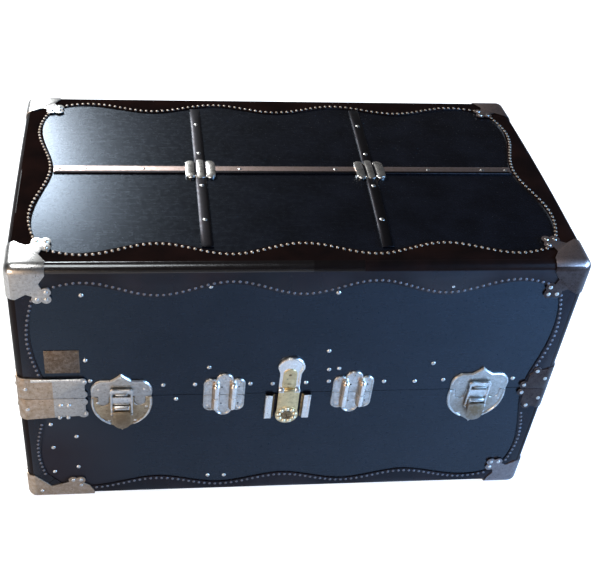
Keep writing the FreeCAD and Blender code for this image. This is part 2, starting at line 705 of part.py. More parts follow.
# ---------------------------------------------------------------- hasp lock
def lock_plate():
    """Pressed plate behind the hasp, its two ends raised into wings."""
    half, wing = LOCK_HALF_WIDTH, LOCK_WING_WIDTH
    ramp = LOCK_WING_OUT - LOCK_SHEET
    profile = [(0, GLUE), (half, GLUE), (half, LOCK_WING_OUT), (half - wing, LOCK_WING_OUT),
               (half - wing - ramp / 3, LOCK_WING_OUT / 2, half - wing - ramp, LOCK_SHEET),
               (0, LOCK_SHEET)]
    face = closed_face(profile, lambda x, out: vector(LOCK_X + x, PANEL_FRONT - out, SPLIT_Z - LOCK_BOTTOM))
    right = face.extrude(vector(0, 0, LOCK_BOTTOM - LOCK_TOP))
    seat = front_disc((0, -LOCK_CENTRE_DROP), COLLAR_RADIUS - LOCK_SHEET, LOCK_X, 0, 2 * LOCK_SHEET)
    return fused([right, flipped_x(right, LOCK_X)]).cut(seat)


def lock_collar():
    """Round collar on the plate that the hasp's ring drops over."""
    centre = (0, -LOCK_CENTRE_DROP)
    collar = front_disc(centre, COLLAR_RADIUS, LOCK_X, LOCK_SHEET + GLUE, COLLAR_OUT)
    hole = front_disc(centre, CYLINDER_RADIUS + RUNNING_FIT, LOCK_X, 0, 2 * COLLAR_OUT)
    return collar.cut(hole)


def lock_cylinder():
    """Cylinder that the key turns, with the key slot across its face."""
    width, length, depth = KEY_SLOT
    centre = (0, -LOCK_CENTRE_DROP)
    face_out = COLLAR_OUT - PIECE_GAP
    barrel = front_disc(centre, CYLINDER_RADIUS, LOCK_X, LOCK_SHEET + GLUE, face_out)
    slot = block((LOCK_X - width / 2, LOCK_X + width / 2),
                 (PANEL_FRONT - COLLAR_OUT, PANEL_FRONT - face_out + depth),
                 (SPLIT_Z - LOCK_CENTRE_DROP - length / 2, SPLIT_Z - LOCK_CENTRE_DROP + length / 2))
    return barrel.cut(slot)


def hasp_plate():
    """Round-headed plate on the lid with the two outer knuckles of the hasp's hinge."""
    foot = HASP_AXIS_RISE + HASP_KNUCKLE + PIECE_GAP
    half, neck = HASP_HEAD_HALF, HASP_HALF_WIDTH
    widest = HASP_HEAD_RISE - half
    head = front_plate([(-neck, foot), (neck, foot), (neck, widest - HASP_SHOULDER), (half, widest),
                        (0, HASP_HEAD_RISE, -half, widest), (-neck, widest - HASP_SHOULDER)],
                       LOCK_X, GLUE, HASP_SHEET - GLUE)
    inner = HASP_HALF_WIDTH / 2 + PIECE_GAP
    pieces = [head]
    for side in (-1, 1):
        span = (side * inner, side * neck)
        pieces.append(front_rod(HASP_KNUCKLE, LOCK_X, span, HASP_AXIS_OUT, HASP_AXIS_RISE))
        web = [(GLUE, foot - SEAM), (GLUE, foot + HASP_SHEET), (HASP_SHEET - GLUE, foot + HASP_SHEET),
               (HASP_AXIS_OUT, HASP_AXIS_RISE + HASP_KNUCKLE), (HASP_AXIS_OUT, HASP_AXIS_RISE),
               (HASP_AXIS_OUT - HASP_KNUCKLE, HASP_AXIS_RISE)]
        pieces.append(side_plate(web, LOCK_X, sorted(span)))
    bore = front_rod(HASP_PIN + RUNNING_FIT, LOCK_X, (-half, half), HASP_AXIS_OUT, HASP_AXIS_RISE)
    return fused(pieces).cut(bore)


def hasp_pin():
    return front_rod(HASP_PIN, LOCK_X, (-HASP_HALF_WIDTH, HASP_HALF_WIDTH), HASP_AXIS_OUT, HASP_AXIS_RISE)


def hasp():
    """Hasp: a strap from the lid's knuckles down to the ring round the lock's collar."""
    low = HASP_AXIS_OUT - HASP_BACKSET
    high = low + HASP_SHEET
    half = HASP_HALF_WIDTH
    inner = HASP_HALF_WIDTH / 2
    knuckle_top = HASP_AXIS_RISE - HASP_KNUCKLE - PIECE_GAP
    strap = front_plate([(-half, -LOCK_CENTRE_DROP), (half, -LOCK_CENTRE_DROP), (half, knuckle_top),
                         (-half, knuckle_top)], LOCK_X, low, high)
    tongue = front_plate([(-inner, knuckle_top - SEAM), (inner, knuckle_top - SEAM), (inner, HASP_AXIS_RISE),
                          (-inner, HASP_AXIS_RISE)], LOCK_X, low, high)
    ring = front_disc((0, -LOCK_CENTRE_DROP), HASP_RING, LOCK_X, low, high + HASP_RING_RISE)
    knuckle = front_rod(HASP_KNUCKLE, LOCK_X, (-inner, inner), HASP_AXIS_OUT, HASP_AXIS_RISE)
    hole = front_disc((0, -LOCK_CENTRE_DROP), COLLAR_RADIUS + COLLAR_CLEARANCE, LOCK_X, 0, 2 * high)
    bore = front_rod(HASP_PIN + RUNNING_FIT, LOCK_X, (-half, half), HASP_AXIS_OUT, HASP_AXIS_RISE)
    return fused([strap, tongue, ring, knuckle]).cut([hole, bore])


# ---------------------------------------------------------------- dowel plates
def dowel_columns():
    return (-DOWEL_SPACING / 2, DOWEL_SPACING / 2)


def dowel_half_plate(at_x, side):
    """Three-lobed plate with two round-ended tubes, above the seam for side 1 and below for -1."""
    half, rise = DOWEL_HALF_WIDTH, DOWEL_HALF_HEIGHT
    lobe = half / 3
    inner = DOWEL_SPACING / 2
    start = side * SEAM / 2
    shoulder = side * (rise - 2 * lobe)
    side_top, neck = shoulder + side * lobe, side * (rise - inner)
    steps = [(-half, start), (half, start), (half, shoulder),
             (half - lobe, side_top, inner, neck), (0, side * rise, -inner, neck),
             (lobe - half, side_top, -half, shoulder)]
    pieces = [front_plate(steps, at_x, GLUE, DOWEL_PLATE)]
    for column in dowel_columns():
        foot = vector(at_x + column, PANEL_FRONT - DOWEL_TUBE, SPLIT_Z + start)
        end = foot + vector(0, 0, side * (DOWEL_TUBE_LENGTH - DOWEL_TUBE))
        pieces += [rod(DOWEL_TUBE - GLUE, foot, end), Part.makeSphere(DOWEL_TUBE - GLUE, end)]
    return fused(pieces)


def dowel_rod(at_x, column, radius, low, high):
    foot = vector(at_x + column, PANEL_FRONT - DOWEL_TUBE, SPLIT_Z)
    return rod(radius, foot + vector(0, 0, low), foot + vector(0, 0, high))


def dowel_sockets(at_x):
    depth = DOWEL_ENTRY + DOWEL_CLEARANCE
    holes = [dowel_rod(at_x, column, DOWEL_RADIUS + DOWEL_CLEARANCE, -depth, SEAM)
             for column in dowel_columns()]
    return dowel_half_plate(at_x, -1).cut(holes)


def dowel_holders(at_x):
    holes = [dowel_rod(at_x, column, DOWEL_RADIUS, 0, DOWEL_TUBE_LENGTH / 2) for column in dowel_columns()]
    return dowel_half_plate(at_x, 1).cut(holes)


def guide_dowels(at_x):
    """Round pins held in the lid's tubes; their lower ends enter the base's tubes."""
    return group([dowel_rod(at_x, column, DOWEL_RADIUS, -DOWEL_ENTRY, DOWEL_TUBE_LENGTH / 2)
                  for column in dowel_columns()])


# ---------------------------------------------------------------- hinges
def hinge_leaf(at_x, side):
    """Leaf on the back, on the lid for side 1 or the base for side -1, with its own knuckles."""
    foot = SPLIT_Z + side * (HINGE_KNUCKLE + PIECE_GAP)
    outer = PANEL_BACK + HINGE_LEAF
    leaf = block((at_x - HINGE_HALF_WIDTH, at_x + HINGE_HALF_WIDTH), (PANEL_BACK + GLUE, outer),
                 (foot, SPLIT_Z + side * HINGE_LEAF_HEIGHT))
    pitch = 2 * HINGE_HALF_WIDTH / HINGE_KNUCKLES
    pieces = [leaf]
    for index in range(HINGE_KNUCKLES):
        on_base = index % 2 == 0
        if on_base == (side < 0):
            start = at_x - HINGE_HALF_WIDTH + index * pitch + PIECE_GAP / 2
            end = start + pitch - PIECE_GAP
            pieces.append(rod(HINGE_KNUCKLE, vector(start, HINGE_Y, SPLIT_Z), vector(end, HINGE_Y, SPLIT_Z)))
            pieces.append(block((start, end), (PANEL_BACK + GLUE, outer), (SPLIT_Z, foot)))
    bore = rod(HINGE_PIN + RUNNING_FIT, vector(at_x - 2 * HINGE_HALF_WIDTH, HINGE_Y, SPLIT_Z),
               vector(at_x + 2 * HINGE_HALF_WIDTH, HINGE_Y, SPLIT_Z))
    return fused(pieces).cut(bore)


def hinge_pin(at_x):
    return rod(HINGE_PIN, vector(at_x - HINGE_HALF_WIDTH, HINGE_Y, SPLIT_Z),
               vector(at_x + HINGE_HALF_WIDTH, HINGE_Y, SPLIT_Z))


# ---------------------------------------------------------------- handles
def end_place(out=0.0):
    """Places on the right end: across from the middle, height from the handle's axis."""
    return lambda across, rise: vector(PANEL_END + out, MID_Y + across, CASE_BOTTOM + HANDLE_AXIS_Z + rise)


def handle_rod(radius, across_range):
    place = end_place(HANDLE_AXIS_OUT)
    return rod(radius, place(across_range[0], 0), place(across_range[1], 0))


def handle_brackets():
    """Two brackets on the right end: a plate with two ears each, and the pin between them."""
    half = HANDLE_END_WIDTH / 2 + PIECE_GAP + BRACKET_EAR
    high = HANDLE_AXIS_OUT + HANDLE_PIN + BRACKET_SHEET
    brackets = []
    for side in (-1, 1):
        centre = side * HANDLE_HALF_SPAN
        plate = closed_face(rectangle((centre - half - BRACKET_MARGIN, centre + half + BRACKET_MARGIN),
                                      (-2 * BRACKET_MARGIN, 2 * BRACKET_MARGIN)), end_place(GLUE))
        pieces = [plate.extrude(vector(BRACKET_SHEET, 0, 0))]
        for ear_side in (-1, 1):
            ear_start = centre + ear_side * (half - BRACKET_EAR)
            start = end_place()(ear_start, 0)
            steps = [(GLUE, -BRACKET_MARGIN), (HANDLE_AXIS_OUT, -BRACKET_MARGIN / 1.5),
                     (high, 0, HANDLE_AXIS_OUT, BRACKET_MARGIN / 1.5), (GLUE, BRACKET_MARGIN)]
            ear = closed_face(steps, lambda out, rise: start + vector(out, 0, rise))
            pieces.append(ear.extrude(vector(0, ear_side * BRACKET_EAR, 0)))
        pieces.append(handle_rod(HANDLE_PIN, (centre - half, centre + half)))
        brackets.append(fused(pieces))
    return group(brackets)


def handle():
    """Leather handle of the right end, hanging down from its two pins."""
    span, drop, grip = HANDLE_HALF_SPAN, HANDLE_DROP, HANDLE_GRIP
    half_end = HANDLE_END_WIDTH / 2
    bend = 2 * half_end
    steps = [(span - half_end, 0), (span + half_end, 0), (span + half_end, bend - drop),
             (span, -drop - half_end / 2, span - bend, -drop - half_end),
             (0, -drop - (grip + HANDLE_CURVE) / 2, bend - span, -drop - half_end),
             (-span, -drop - half_end / 2, -span - half_end, bend - drop),
             (-span - half_end, 0), (half_end - span, 0), (half_end - span, bend - drop),
             (half_end - span + HANDLE_CURVE, grip / 2 - drop, bend + half_end - span, grip / 2 - drop),
             (span - bend - half_end, grip / 2 - drop),
             (span - half_end - HANDLE_CURVE, grip / 2 - drop, span - half_end, bend - drop)]
    face = closed_face(steps, end_place(HANDLE_AXIS_OUT - HANDLE_THICKNESS / 2))
    strap = face.extrude(vector(HANDLE_THICKNESS, 0, 0))
    loops = [handle_rod(HANDLE_LOOP, (side * span - half_end, side * span + half_end)) for side in (-1, 1)]
    bore = handle_rod(HANDLE_PIN + RUNNING_FIT, (-2 * span, 2 * span))
    return fused([strap] + loops).cut(bore)


# ---------------------------------------------------------------- slotted lid stays
def stay_place(inset):
    """Places beside the right end: forward from the lid's hinge line, height from the seam."""
    return lambda forward, rise: vector(LENGTH / 2 - inset, HINGE_Y - forward, SPLIT_Z + rise)


def stay_layers():
    """Insets of the bracket's face, the arm's two faces and the stud's head."""
    face = INSIDE_INSET + GLUE + STAY_BRACKET
    arm = INSIDE_INSET + RIM_CLEARANCE + RIM_STRIP + PIECE_GAP + GLUE
    return face, arm, arm + STAY_SHEET, arm + STAY_SHEET + PIECE_GAP


def stay_stud(rise):
    """Wall plate with a headed stud, at one end of the stay."""
    face, _, _, head = stay_layers()
    plate = disc((STAY_REACH, rise), 2 * STAY_HEAD, stay_place(INSIDE_INSET + GLUE), vector(1, 0, 0))
    centre = stay_place(face)(STAY_REACH, rise)
    inward = vector(-1, 0, 0)
    return fused([plate.extrude(inward * STAY_BRACKET),
                  Part.makeCylinder(STAY_STUD, head + STAY_HEAD_SHEET - face, centre, inward),
                  Part.makeCylinder(STAY_HEAD, STAY_HEAD_SHEET, stay_place(head)(STAY_REACH, rise), inward)])


def stay_travel():
    """Distance from the arm's pivot to the lid's stud, shut and fully open."""
    radius = hypot(STAY_REACH, STAY_DROP)
    shut_angle = 2 * atan2(STAY_DROP, STAY_REACH)
    open_angle = shut_angle + radians(LID_OPENING)
    return 2 * radius * sin(shut_angle / 2), 2 * radius * sin(open_angle / 2)


def stay_arm():
    """Slotted arm. Pivot and stud lie equally far from the lid's hinge line, so the arm
    turns through half the lid's angle while the stud runs along its slot."""
    _, low, _, _ = stay_layers()
    shut, opened = stay_travel()
    place = stay_place(low)
    half, slot = STAY_HALF_WIDTH, STAY_STUD + STAY_SLOT_CLEARANCE
    top = opened + half / 2

    def bar(half_width, start, end):
        return [(STAY_REACH - half_width, start - STAY_DROP),
                (STAY_REACH, start - half_width - STAY_DROP, STAY_REACH + half_width, start - STAY_DROP),
                (STAY_REACH + half_width, end - STAY_DROP),
                (STAY_REACH, end + half_width - STAY_DROP, STAY_REACH - half_width, end - STAY_DROP)]
    thickness = vector(-STAY_SHEET, 0, 0)
    arm = closed_face(bar(half, 0, top), place).extrude(thickness)
    gap = closed_face(bar(slot, shut, opened), place).extrude(thickness)
    pivot = disc((STAY_REACH, -STAY_DROP), STAY_STUD + RUNNING_FIT, place, vector(-1, 0, 0))
    return arm.cut([gap, pivot.extrude(thickness)])


# ---------------------------------------------------------------- rim strip and blank plate
def rim_strip():
    """Closing strip inside the base's rim that stands up into the lid."""
    outer = INSIDE_INSET + RIM_CLEARANCE
    ring = plain_form(outer).cut(plain_form(outer + RIM_STRIP))
    return ring.common(block((-FAR, FAR), (-FAR, FAR), (SPLIT_Z - RIM_BELOW, SPLIT_Z + RIM_ABOVE)))


def blank_plate():
    half_x, half_z = PLATE_HALF
    outline = rectangle((-half_x, half_x), (PLATE_RISE - half_z, PLATE_RISE + half_z))
    return front_plate(outline, PLATE_X, GLUE, PLATE_SHEET)


# ---------------------------------------------------------------- all the pieces
def case_nodes():
    """Shells, linings, coverings and bindings, each made whole and sawn apart at the seam."""
    nodes = {}
    wholes = {"box": wooden_case(), "covering": rolled_skin(PANEL_DEPTH, COVERING), "lining": lining_case()}
    for name, whole in wholes.items():
        nodes["base_" + name] = below_seam(whole)
        nodes["lid_" + name] = above_seam(whole)
    strips = binding_strips()
    lid_strips = above_seam(strips).Solids
    base_strips = below_seam(strips).Solids
    nodes["lid_corner_bindings"] = group([strip for strip in lid_strips if upright(strip)])
    nodes["lid_top_bindings"] = group([strip for strip in lid_strips if not upright(strip)])
    nodes["base_corner_bindings"] = group([strip for strip in base_strips if upright(strip)])
    nodes["base_bottom_bindings"] = group([strip for strip in base_strips if not upright(strip)])
    clamps = seam_clamps()
    nodes["lid_seam_clamps"] = group([above_seam(clamps)])
    nodes["base_seam_clamps"] = group([below_seam(clamps)])
    nodes["lid_corner_caps"] = top_caps()
    nodes["base_corner_caps"] = bottom_caps()
    nodes["base_rim_strip"] = rim_strip()
    return nodes


def front_nodes():
    """Draw bolts, dowel plates, lock and blank plate."""
    nodes = {}
    for side, at_x in DRAWBOLT_X.items():
        nodes[side + "_drawbolt_plate"] = drawbolt_plate(at_x)
        nodes[side + "_drawbolt_pin"] = drawbolt_pin(at_x)
        nodes[side + "_drawbolt_lever"] = drawbolt_lever(at_x)
        nodes[side + "_drawbolt_link_studs"] = drawbolt_link_studs(at_x)
        nodes[side + "_drawbolt_link"] = drawbolt_link(at_x)
        nodes[side + "_drawbolt_catch"] = drawbolt_catch(at_x)
    places = list(DOWEL_X.values())
    nodes["base_dowel_plates"] = group([dowel_sockets(at_x) for at_x in places])
    nodes["lid_dowel_plates"] = group([dowel_holders(at_x) for at_x in places])
    nodes["guide_dowels"] = group([guide_dowels(at_x) for at_x in places])
    nodes["lock_plate"] = lock_plate()
    nodes["lock_collar"] = lock_collar()
    nodes["lock_cylinder"] = lock_cylinder()
    nodes["hasp_plate"] = hasp_plate()
    nodes["hasp_pin"] = hasp_pin()
    nodes["hasp"] = hasp()
    nodes["blank_plate"] = blank_plate()
    return nodes


def top_nodes():
    """Metal strips on the lid."""
    return {
        "centre_strip": centre_strip(),
        "cross_straps": cross_straps(),
        "crossing_clamps": crossing_clamps(),
    }


def back_and_end_nodes():
    """Hinges, handles and lid stays."""
    nodes = {
        "lid_hinge_leaves": group([hinge_leaf(at_x, 1) for at_x in HINGE_X]),
        "base_hinge_leaves": group([hinge_leaf(at_x, -1) for at_x in HINGE_X]),
        "hinge_pins": group([hinge_pin(at_x) for at_x in HINGE_X]),
    }
    right = {
        "handle_brackets": handle_brackets(),
        "handle": handle(),
        "stay_pivot": stay_stud(-STAY_DROP),
        "stay_stud": stay_stud(STAY_DROP),
        "stay_arm": stay_arm(),
    }
    for name, shape in right.items():
        nodes["right_" + name] = shape
        nodes["left_" + name] = group([flipped_x(shape)])
    return nodes


def main():
    os.makedirs("parts", exist_ok=True)
    nodes = {}
    for make in (case_nodes, front_nodes, top_nodes, back_and_end_nodes):
        nodes.update(make())
    for name, shape in nodes.items():
        shape.exportStep(f"parts/{name}.step")


main()
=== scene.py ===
"""Black fibre travel trunk: nailed scalloped bindings, corner caps, draw bolts and a hasp lock.

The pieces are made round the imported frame. Lengths are metres, +Z is up and the front is -Y.
"""
import json
import math

import bmesh
import bpy
from mathutils import Matrix, Vector

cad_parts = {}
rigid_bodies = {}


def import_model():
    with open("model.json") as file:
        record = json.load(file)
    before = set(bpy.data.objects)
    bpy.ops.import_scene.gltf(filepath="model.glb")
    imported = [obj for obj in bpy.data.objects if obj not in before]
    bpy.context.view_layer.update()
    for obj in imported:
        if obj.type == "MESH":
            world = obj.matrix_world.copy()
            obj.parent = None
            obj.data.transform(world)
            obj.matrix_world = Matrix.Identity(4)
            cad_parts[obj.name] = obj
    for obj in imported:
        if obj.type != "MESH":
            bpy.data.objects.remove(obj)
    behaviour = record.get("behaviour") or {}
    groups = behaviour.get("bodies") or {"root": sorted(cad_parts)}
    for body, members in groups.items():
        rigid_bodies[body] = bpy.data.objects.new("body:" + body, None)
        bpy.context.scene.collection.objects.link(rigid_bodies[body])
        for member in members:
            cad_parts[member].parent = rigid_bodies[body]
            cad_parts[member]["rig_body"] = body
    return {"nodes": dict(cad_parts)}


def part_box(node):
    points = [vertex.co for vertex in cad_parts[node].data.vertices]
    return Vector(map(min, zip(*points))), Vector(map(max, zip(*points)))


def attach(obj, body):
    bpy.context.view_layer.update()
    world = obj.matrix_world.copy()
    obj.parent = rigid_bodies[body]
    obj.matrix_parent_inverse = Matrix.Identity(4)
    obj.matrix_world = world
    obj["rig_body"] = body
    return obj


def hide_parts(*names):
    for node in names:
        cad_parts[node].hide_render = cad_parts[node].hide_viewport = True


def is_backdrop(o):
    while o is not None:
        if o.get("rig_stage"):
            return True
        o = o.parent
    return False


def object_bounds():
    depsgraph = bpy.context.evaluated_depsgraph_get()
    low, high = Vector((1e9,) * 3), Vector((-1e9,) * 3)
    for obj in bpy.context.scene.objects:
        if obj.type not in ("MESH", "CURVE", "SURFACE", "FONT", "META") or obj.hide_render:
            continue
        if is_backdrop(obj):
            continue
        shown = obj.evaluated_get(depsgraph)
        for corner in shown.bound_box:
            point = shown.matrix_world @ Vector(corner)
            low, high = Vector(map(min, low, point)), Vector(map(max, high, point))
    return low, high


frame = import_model()

CAD_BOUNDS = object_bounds()

bl_info = {
    "name": "Travel Trunk",
    "version": (1, 0, 0),
    "blender": (4, 5, 0),
    "location": "View3D > Sidebar > Trunk",
    "description": "Builds a fibre-covered travel trunk with its hardware, nails and finishes",
    "category": "Add Mesh",
}

MM = 0.001
FRONT, BACK = Vector((0, -1, 0)), Vector((0, 1, 0))
UP, DOWN = Vector((0, 0, 1)), Vector((0, 0, -1))
RIGHT, LEFT = Vector((1, 0, 0)), Vector((-1, 0, 0))

# the case over its bindings, and its panels
CASE_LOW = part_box("base_bottom_bindings")[0]
CASE_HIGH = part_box("lid_top_bindings")[1]
MIDDLE = (CASE_LOW + CASE_HIGH) / 2
HALF_X, HALF_Y = (CASE_HIGH.x - CASE_LOW.x) / 2, (CASE_HIGH.y - CASE_LOW.y) / 2
PANEL_LOW, PANEL_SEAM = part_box("base_covering")
LID_PANEL_LOW, PANEL_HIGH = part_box("lid_covering")
SEAM_Z = (PANEL_SEAM.z + LID_PANEL_LOW.z) / 2


def linear(hex_colour):
    """Linear colour of an sRGB hex value."""
    parts = [int(hex_colour[start:start + 2], 16) / 255 for start in (1, 3, 5)]
    return [part / 12.92 if part <= 0.04045 else ((part + 0.055) / 1.055) ** 2.4 for part in parts]


def colour(name, description, hex_colour):
    return bpy.props.FloatVectorProperty(name=name, description=description, subtype="COLOR",
                                         default=linear(hex_colour), min=0, max=1)


def length(name, description, millimetres):
    return bpy.props.FloatProperty(name=name, description=description, unit="LENGTH",
                                   default=millimetres * MM, min=0)


class TrunkSizes(bpy.types.PropertyGroup):
    """Sizes of the small fittings."""
    nail_radius: length("Nail radius", "Radius of a binding nail's head", 2.6)
    nail_height: length("Nail height", "How far a nail's head stands out", 1.6)
    nail_pitch: length("Nail pitch", "Distance between binding nails along their row", 10.0)
    rivet_radius: length("Rivet radius", "Radius of a loose rivet's head", 3.9)
    rivet_height: length("Rivet height", "How far a rivet's head stands out", 2.2)
    crown_rise: length("Crown rise", "Rise of the arched top in its middle", 6.0)
    stitch_length: length("Stitch length", "Length of a stitch in the handles", 5.0)


class TrunkColours(bpy.types.PropertyGroup):
    """Colours of the finishes."""
    covering: colour("Covering", "Blue-black fibre of the panels", "#08070a")
    covering_worn: colour("Worn covering", "Where the panels have greyed", "#0f0f14")
    binding: colour("Binding", "Brown-black fibre of the bindings", "#0f0a09")
    binding_worn: colour("Worn binding", "Where the bindings have browned", "#1c100d")
    nickel_pale: colour("Polished nickel", "Nickel plate rubbed bright", "#fff6ea")
    nickel: colour("Nickel", "Bright nickel plate", "#e0dcd6")
    nickel_grey: colour("Grey nickel", "Nickel plate that has lost its shine", "#c2bcb4")
    nickel_film: colour("Dulled nickel", "Grey film on the nickel plate", "#98928a")
    nickel_tarnish: colour("Tarnished nickel", "Brown film where the plate is worn", "#7c6850")
    nickel_gilt: colour("Gilded nickel", "Nickel plate with a thin golden film", "#c9b494")
    nickel_warm: colour("Browned nickel", "Nickel plate with a thin brown film", "#c4b09e")
    # the brown film of the left pieces is partly painted warm shade
    nickel_brown_shade: colour("Brown film", "Brown film on the plate of the left pieces", "#957d60")
    # the nails on upright faces get a darker plate than those on the top: painted shade
    nail_top: colour("Top nails", "Worn plate of the nails on the top", "#a3968a")
    nail_front_shaded: colour("Front nails", "Dull plate of the nails on upright faces", "#70727a")
    steel_greyed: colour("Greyed steel", "Bare steel greyed by handling", "#8d8381")
    steel: colour("Dull steel", "Bare steel under the worn plate", "#6e6663")
    steel_rubbed: colour("Rubbed steel", "Bare steel rubbed bright by hands", "#b8a098")
    steel_rusted: colour("Rusted steel", "Steel with a thin brown rust", "#483c38")
    dark_steel: colour("Dark steel", "Darkened steel of the straps", "#2c2b2e")
    brass_pale: colour("Rubbed brass", "Pale brass where it is rubbed", "#fff0d2")
    brass: colour("Brass", "Pale worn brass of the lock", "#efd6a2")
    brass_film: colour("Dulled brass", "Tan film on the brass", "#bfa57c")
    brass_dark: colour("Dark brass", "Brass of the blank plate under its tarnish", "#86776a")
    brass_tarnish: colour("Tarnished brass", "Dark brown of the old brass", "#4f3c28")
    leather: colour("Leather", "Dark brown handle leather", "#24150e")
    thread: colour("Thread", "Waxed linen thread", "#b09a74")
    cloth: colour("Lining cloth", "Undyed linen of the lining", "#b3a58a")
    wood: colour("Wood", "Birch plywood of the case", "#b98f5f")
    floor: colour("Floor", "Pale studio floor", "#c8c8c8")


def sizes():
    return bpy.context.scene.trunk_sizes


def colours():
    return bpy.context.scene.trunk_colours


# ---------------------------------------------------------------- finishes
def add_node(tree, kind, inputs=(), output=0, **settings):
    """Adds a node with its settings. Its inputs, in order or by name, are values or sockets to link
    to, and a colour has three parts. Returns one of its outputs."""
    node = tree.nodes.new("ShaderNode" + kind)
    for name, value in settings.items():
        setattr(node, name, value)
    for name, value in inputs.items() if isinstance(inputs, dict) else enumerate(inputs):
        socket = node.inputs[name]
        if isinstance(value, bpy.types.NodeSocket):
            tree.links.new(value, socket)
        else:
            socket.default_value = (*value, 1) if socket.type == "RGBA" else value
    return node.outputs[output]


def shader_of(tree):
    return tree.nodes["Principled BSDF"]


def feed(tree, name):
    """Socket that feeds one of the shader's inputs."""
    return shader_of(tree).inputs[name].links[0].from_socket


def connect(tree, **sockets):
    """Links sockets to the shader's inputs, with _ for a space."""
    for name, socket in sockets.items():
        tree.links.new(socket, shader_of(tree).inputs[name.replace("_", " ")])


def new_finish(name, **constants):
    """A material with its shader's own sockets set. Returns its tree and the place on the trunk."""
    finish = bpy.data.materials.new(name)
    finish.use_nodes = True
    for socket, value in constants.items():
        shader_of(finish.node_tree).inputs[socket.replace("_", " ")].default_value = value
    return finish.node_tree, add_node(finish.node_tree, "TexCoord", output="Object")


def place_axes(tree):
    """The X, Y and Z of a place on the trunk, as sockets."""
    place = add_node(tree, "TexCoord", output="Object")
    return add_node(tree, "SeparateXYZ", (place,)).node.outputs


def grain(tree, place, millimetres, detail=3.0, stretch=(1, 1, 1), roughness=0.55):
    """Noise whose spots are about so many millimetres across, drawn out along an axis."""
    drawn = add_node(tree, "Mapping", {"Vector": place, "Scale": stretch})
    return add_node(tree, "TexNoise", {"Vector": drawn, "Scale": 1 / (millimetres * MM),
                                       "Detail": detail, "Roughness": roughness}, "Fac")


def calendered_fibre(name, fresh, worn, gloss, mottle_mm, specular, sheen_tint=(1, 1, 1)):
    """Vulcanised fibre, rolled and lacquered: a satin sheet with a faint mottle, rub marks
    and the fine pebble of the rollers, which breaks its highlights softly."""
    tree, place = new_finish(name, Metallic=0.0, IOR=1.5, Specular_IOR_Level=specular,
                             Specular_Tint=(*sheen_tint, 1))
    mottle = add_node(tree, "MapRange", (grain(tree, place, mottle_mm, 4), 0.35, 0.75))
    # rub marks run along the trunk, about 2 mm wide
    rubs = add_node(tree, "MapRange", (grain(tree, place, 2.2, 2, (0.06, 1, 1)), 0.52, 0.72))
    cloud = add_node(tree, "MapRange", (grain(tree, place, 9, 5), 0.3, 0.8))
    rough = add_node(tree, "MapRange", (cloud, 0, 1, *gloss))
    # the roller pebble is really about 0.4 mm, drawn at 1.6 mm so that it shows
    pebble = grain(tree, place, 1.6, 2)
    connect(tree, Base_Color=add_node(tree, "Mix", {0: mottle, 6: fresh, 7: worn}, 2, data_type="RGBA"),
            Roughness=add_node(tree, "Math", (rubs, 0.03, rough), operation="MULTIPLY_ADD",
                               use_clamp=True),
            Normal=add_node(tree, "Bump", {"Strength": 0.25, "Distance": 0.12 * MM, "Height": pebble}))
    return tree


def dulled(tree, share, roughness):
    """Takes a finish towards a roughness, by a share from 0 to 1."""
    ends = {0: share, 2: feed(tree, "Roughness"), 3: roughness}
    connect(tree, Roughness=add_node(tree, "Mix", ends, data_type="FLOAT"))


def lifted_scallops(tree):
    """Leaves the lacquer dull where a scallop is narrow. Where it is wide, hands and cloths rub it."""
    along = add_node(tree, "Math", (place_axes(tree)["X"], math.tau / (HALF_X / 2)), operation="MULTIPLY")
    wave = add_node(tree, "Math", (along,), operation="COSINE")
    dulled(tree, add_node(tree, "MapRange", (wave, 0.9, -0.6)), 0.75)


def shaded_corner(tree, brown):
    """Turns the lacquer dull towards the front's lower left corner, and takes its colour to a dark brown
    there as painted shade.
    """
    axes = place_axes(tree)
    across = add_node(tree, "MapRange", (axes["X"], CASE_LOW.x + 200 * MM, CASE_LOW.x + 60 * MM))
    down = add_node(tree, "MapRange", (axes["Z"], CASE_LOW.z + 250 * MM, CASE_LOW.z + 120 * MM))
    # share of painted shade at the corner, which also sets how dull the lacquer gets
    corner_shade = add_node(tree, "Math", (across, down), operation="MULTIPLY")
    ends = {0: corner_shade, 6: feed(tree, "Base Color"), 7: brown}
    connect(tree, Base_Color=add_node(tree, "Mix", ends, 2, data_type="RGBA"))
    dulled(tree, corner_shade, 0.85)


def plated_metal(name, plate, film, cover, gloss, patch_mm):
    """Pressed metal, plated or bare: bright where it is rubbed, with a film in patches, fine
    scratches, and small dark pits."""
    tree, place = new_finish(name, Metallic=1.0)
    patches = grain(tree, place, patch_mm, 5, roughness=0.65)
    filmed = add_node(tree, "MapRange", (patches, cover - 0.25, cover + 0.25))
    # scratches run along the trunk, about 0.7 mm apart
    scratches = grain(tree, place, 0.7, 2, (0.15, 1, 1))
    pits = add_node(tree, "MapRange", (grain(tree, place, 2.4, 3), 0.62, 0.7))
    dark = [part * 0.55 for part in film]
    stained = add_node(tree, "Mix", {0: filmed, 6: plate, 7: film}, 2, data_type="RGBA")
    rough = add_node(tree, "MapRange", (filmed, 0, 1, *gloss))
    connect(tree, Base_Color=add_node(tree, "Mix", {0: pits, 6: stained, 7: dark}, 2, data_type="RGBA"),
            Roughness=add_node(tree, "Math", (scratches, 0.12, rough), operation="MULTIPLY_ADD",
                               use_clamp=True),
            Normal=add_node(tree, "Bump", {"Strength": 0.2, "Distance": 0.06 * MM, "Height": scratches}))
    return tree


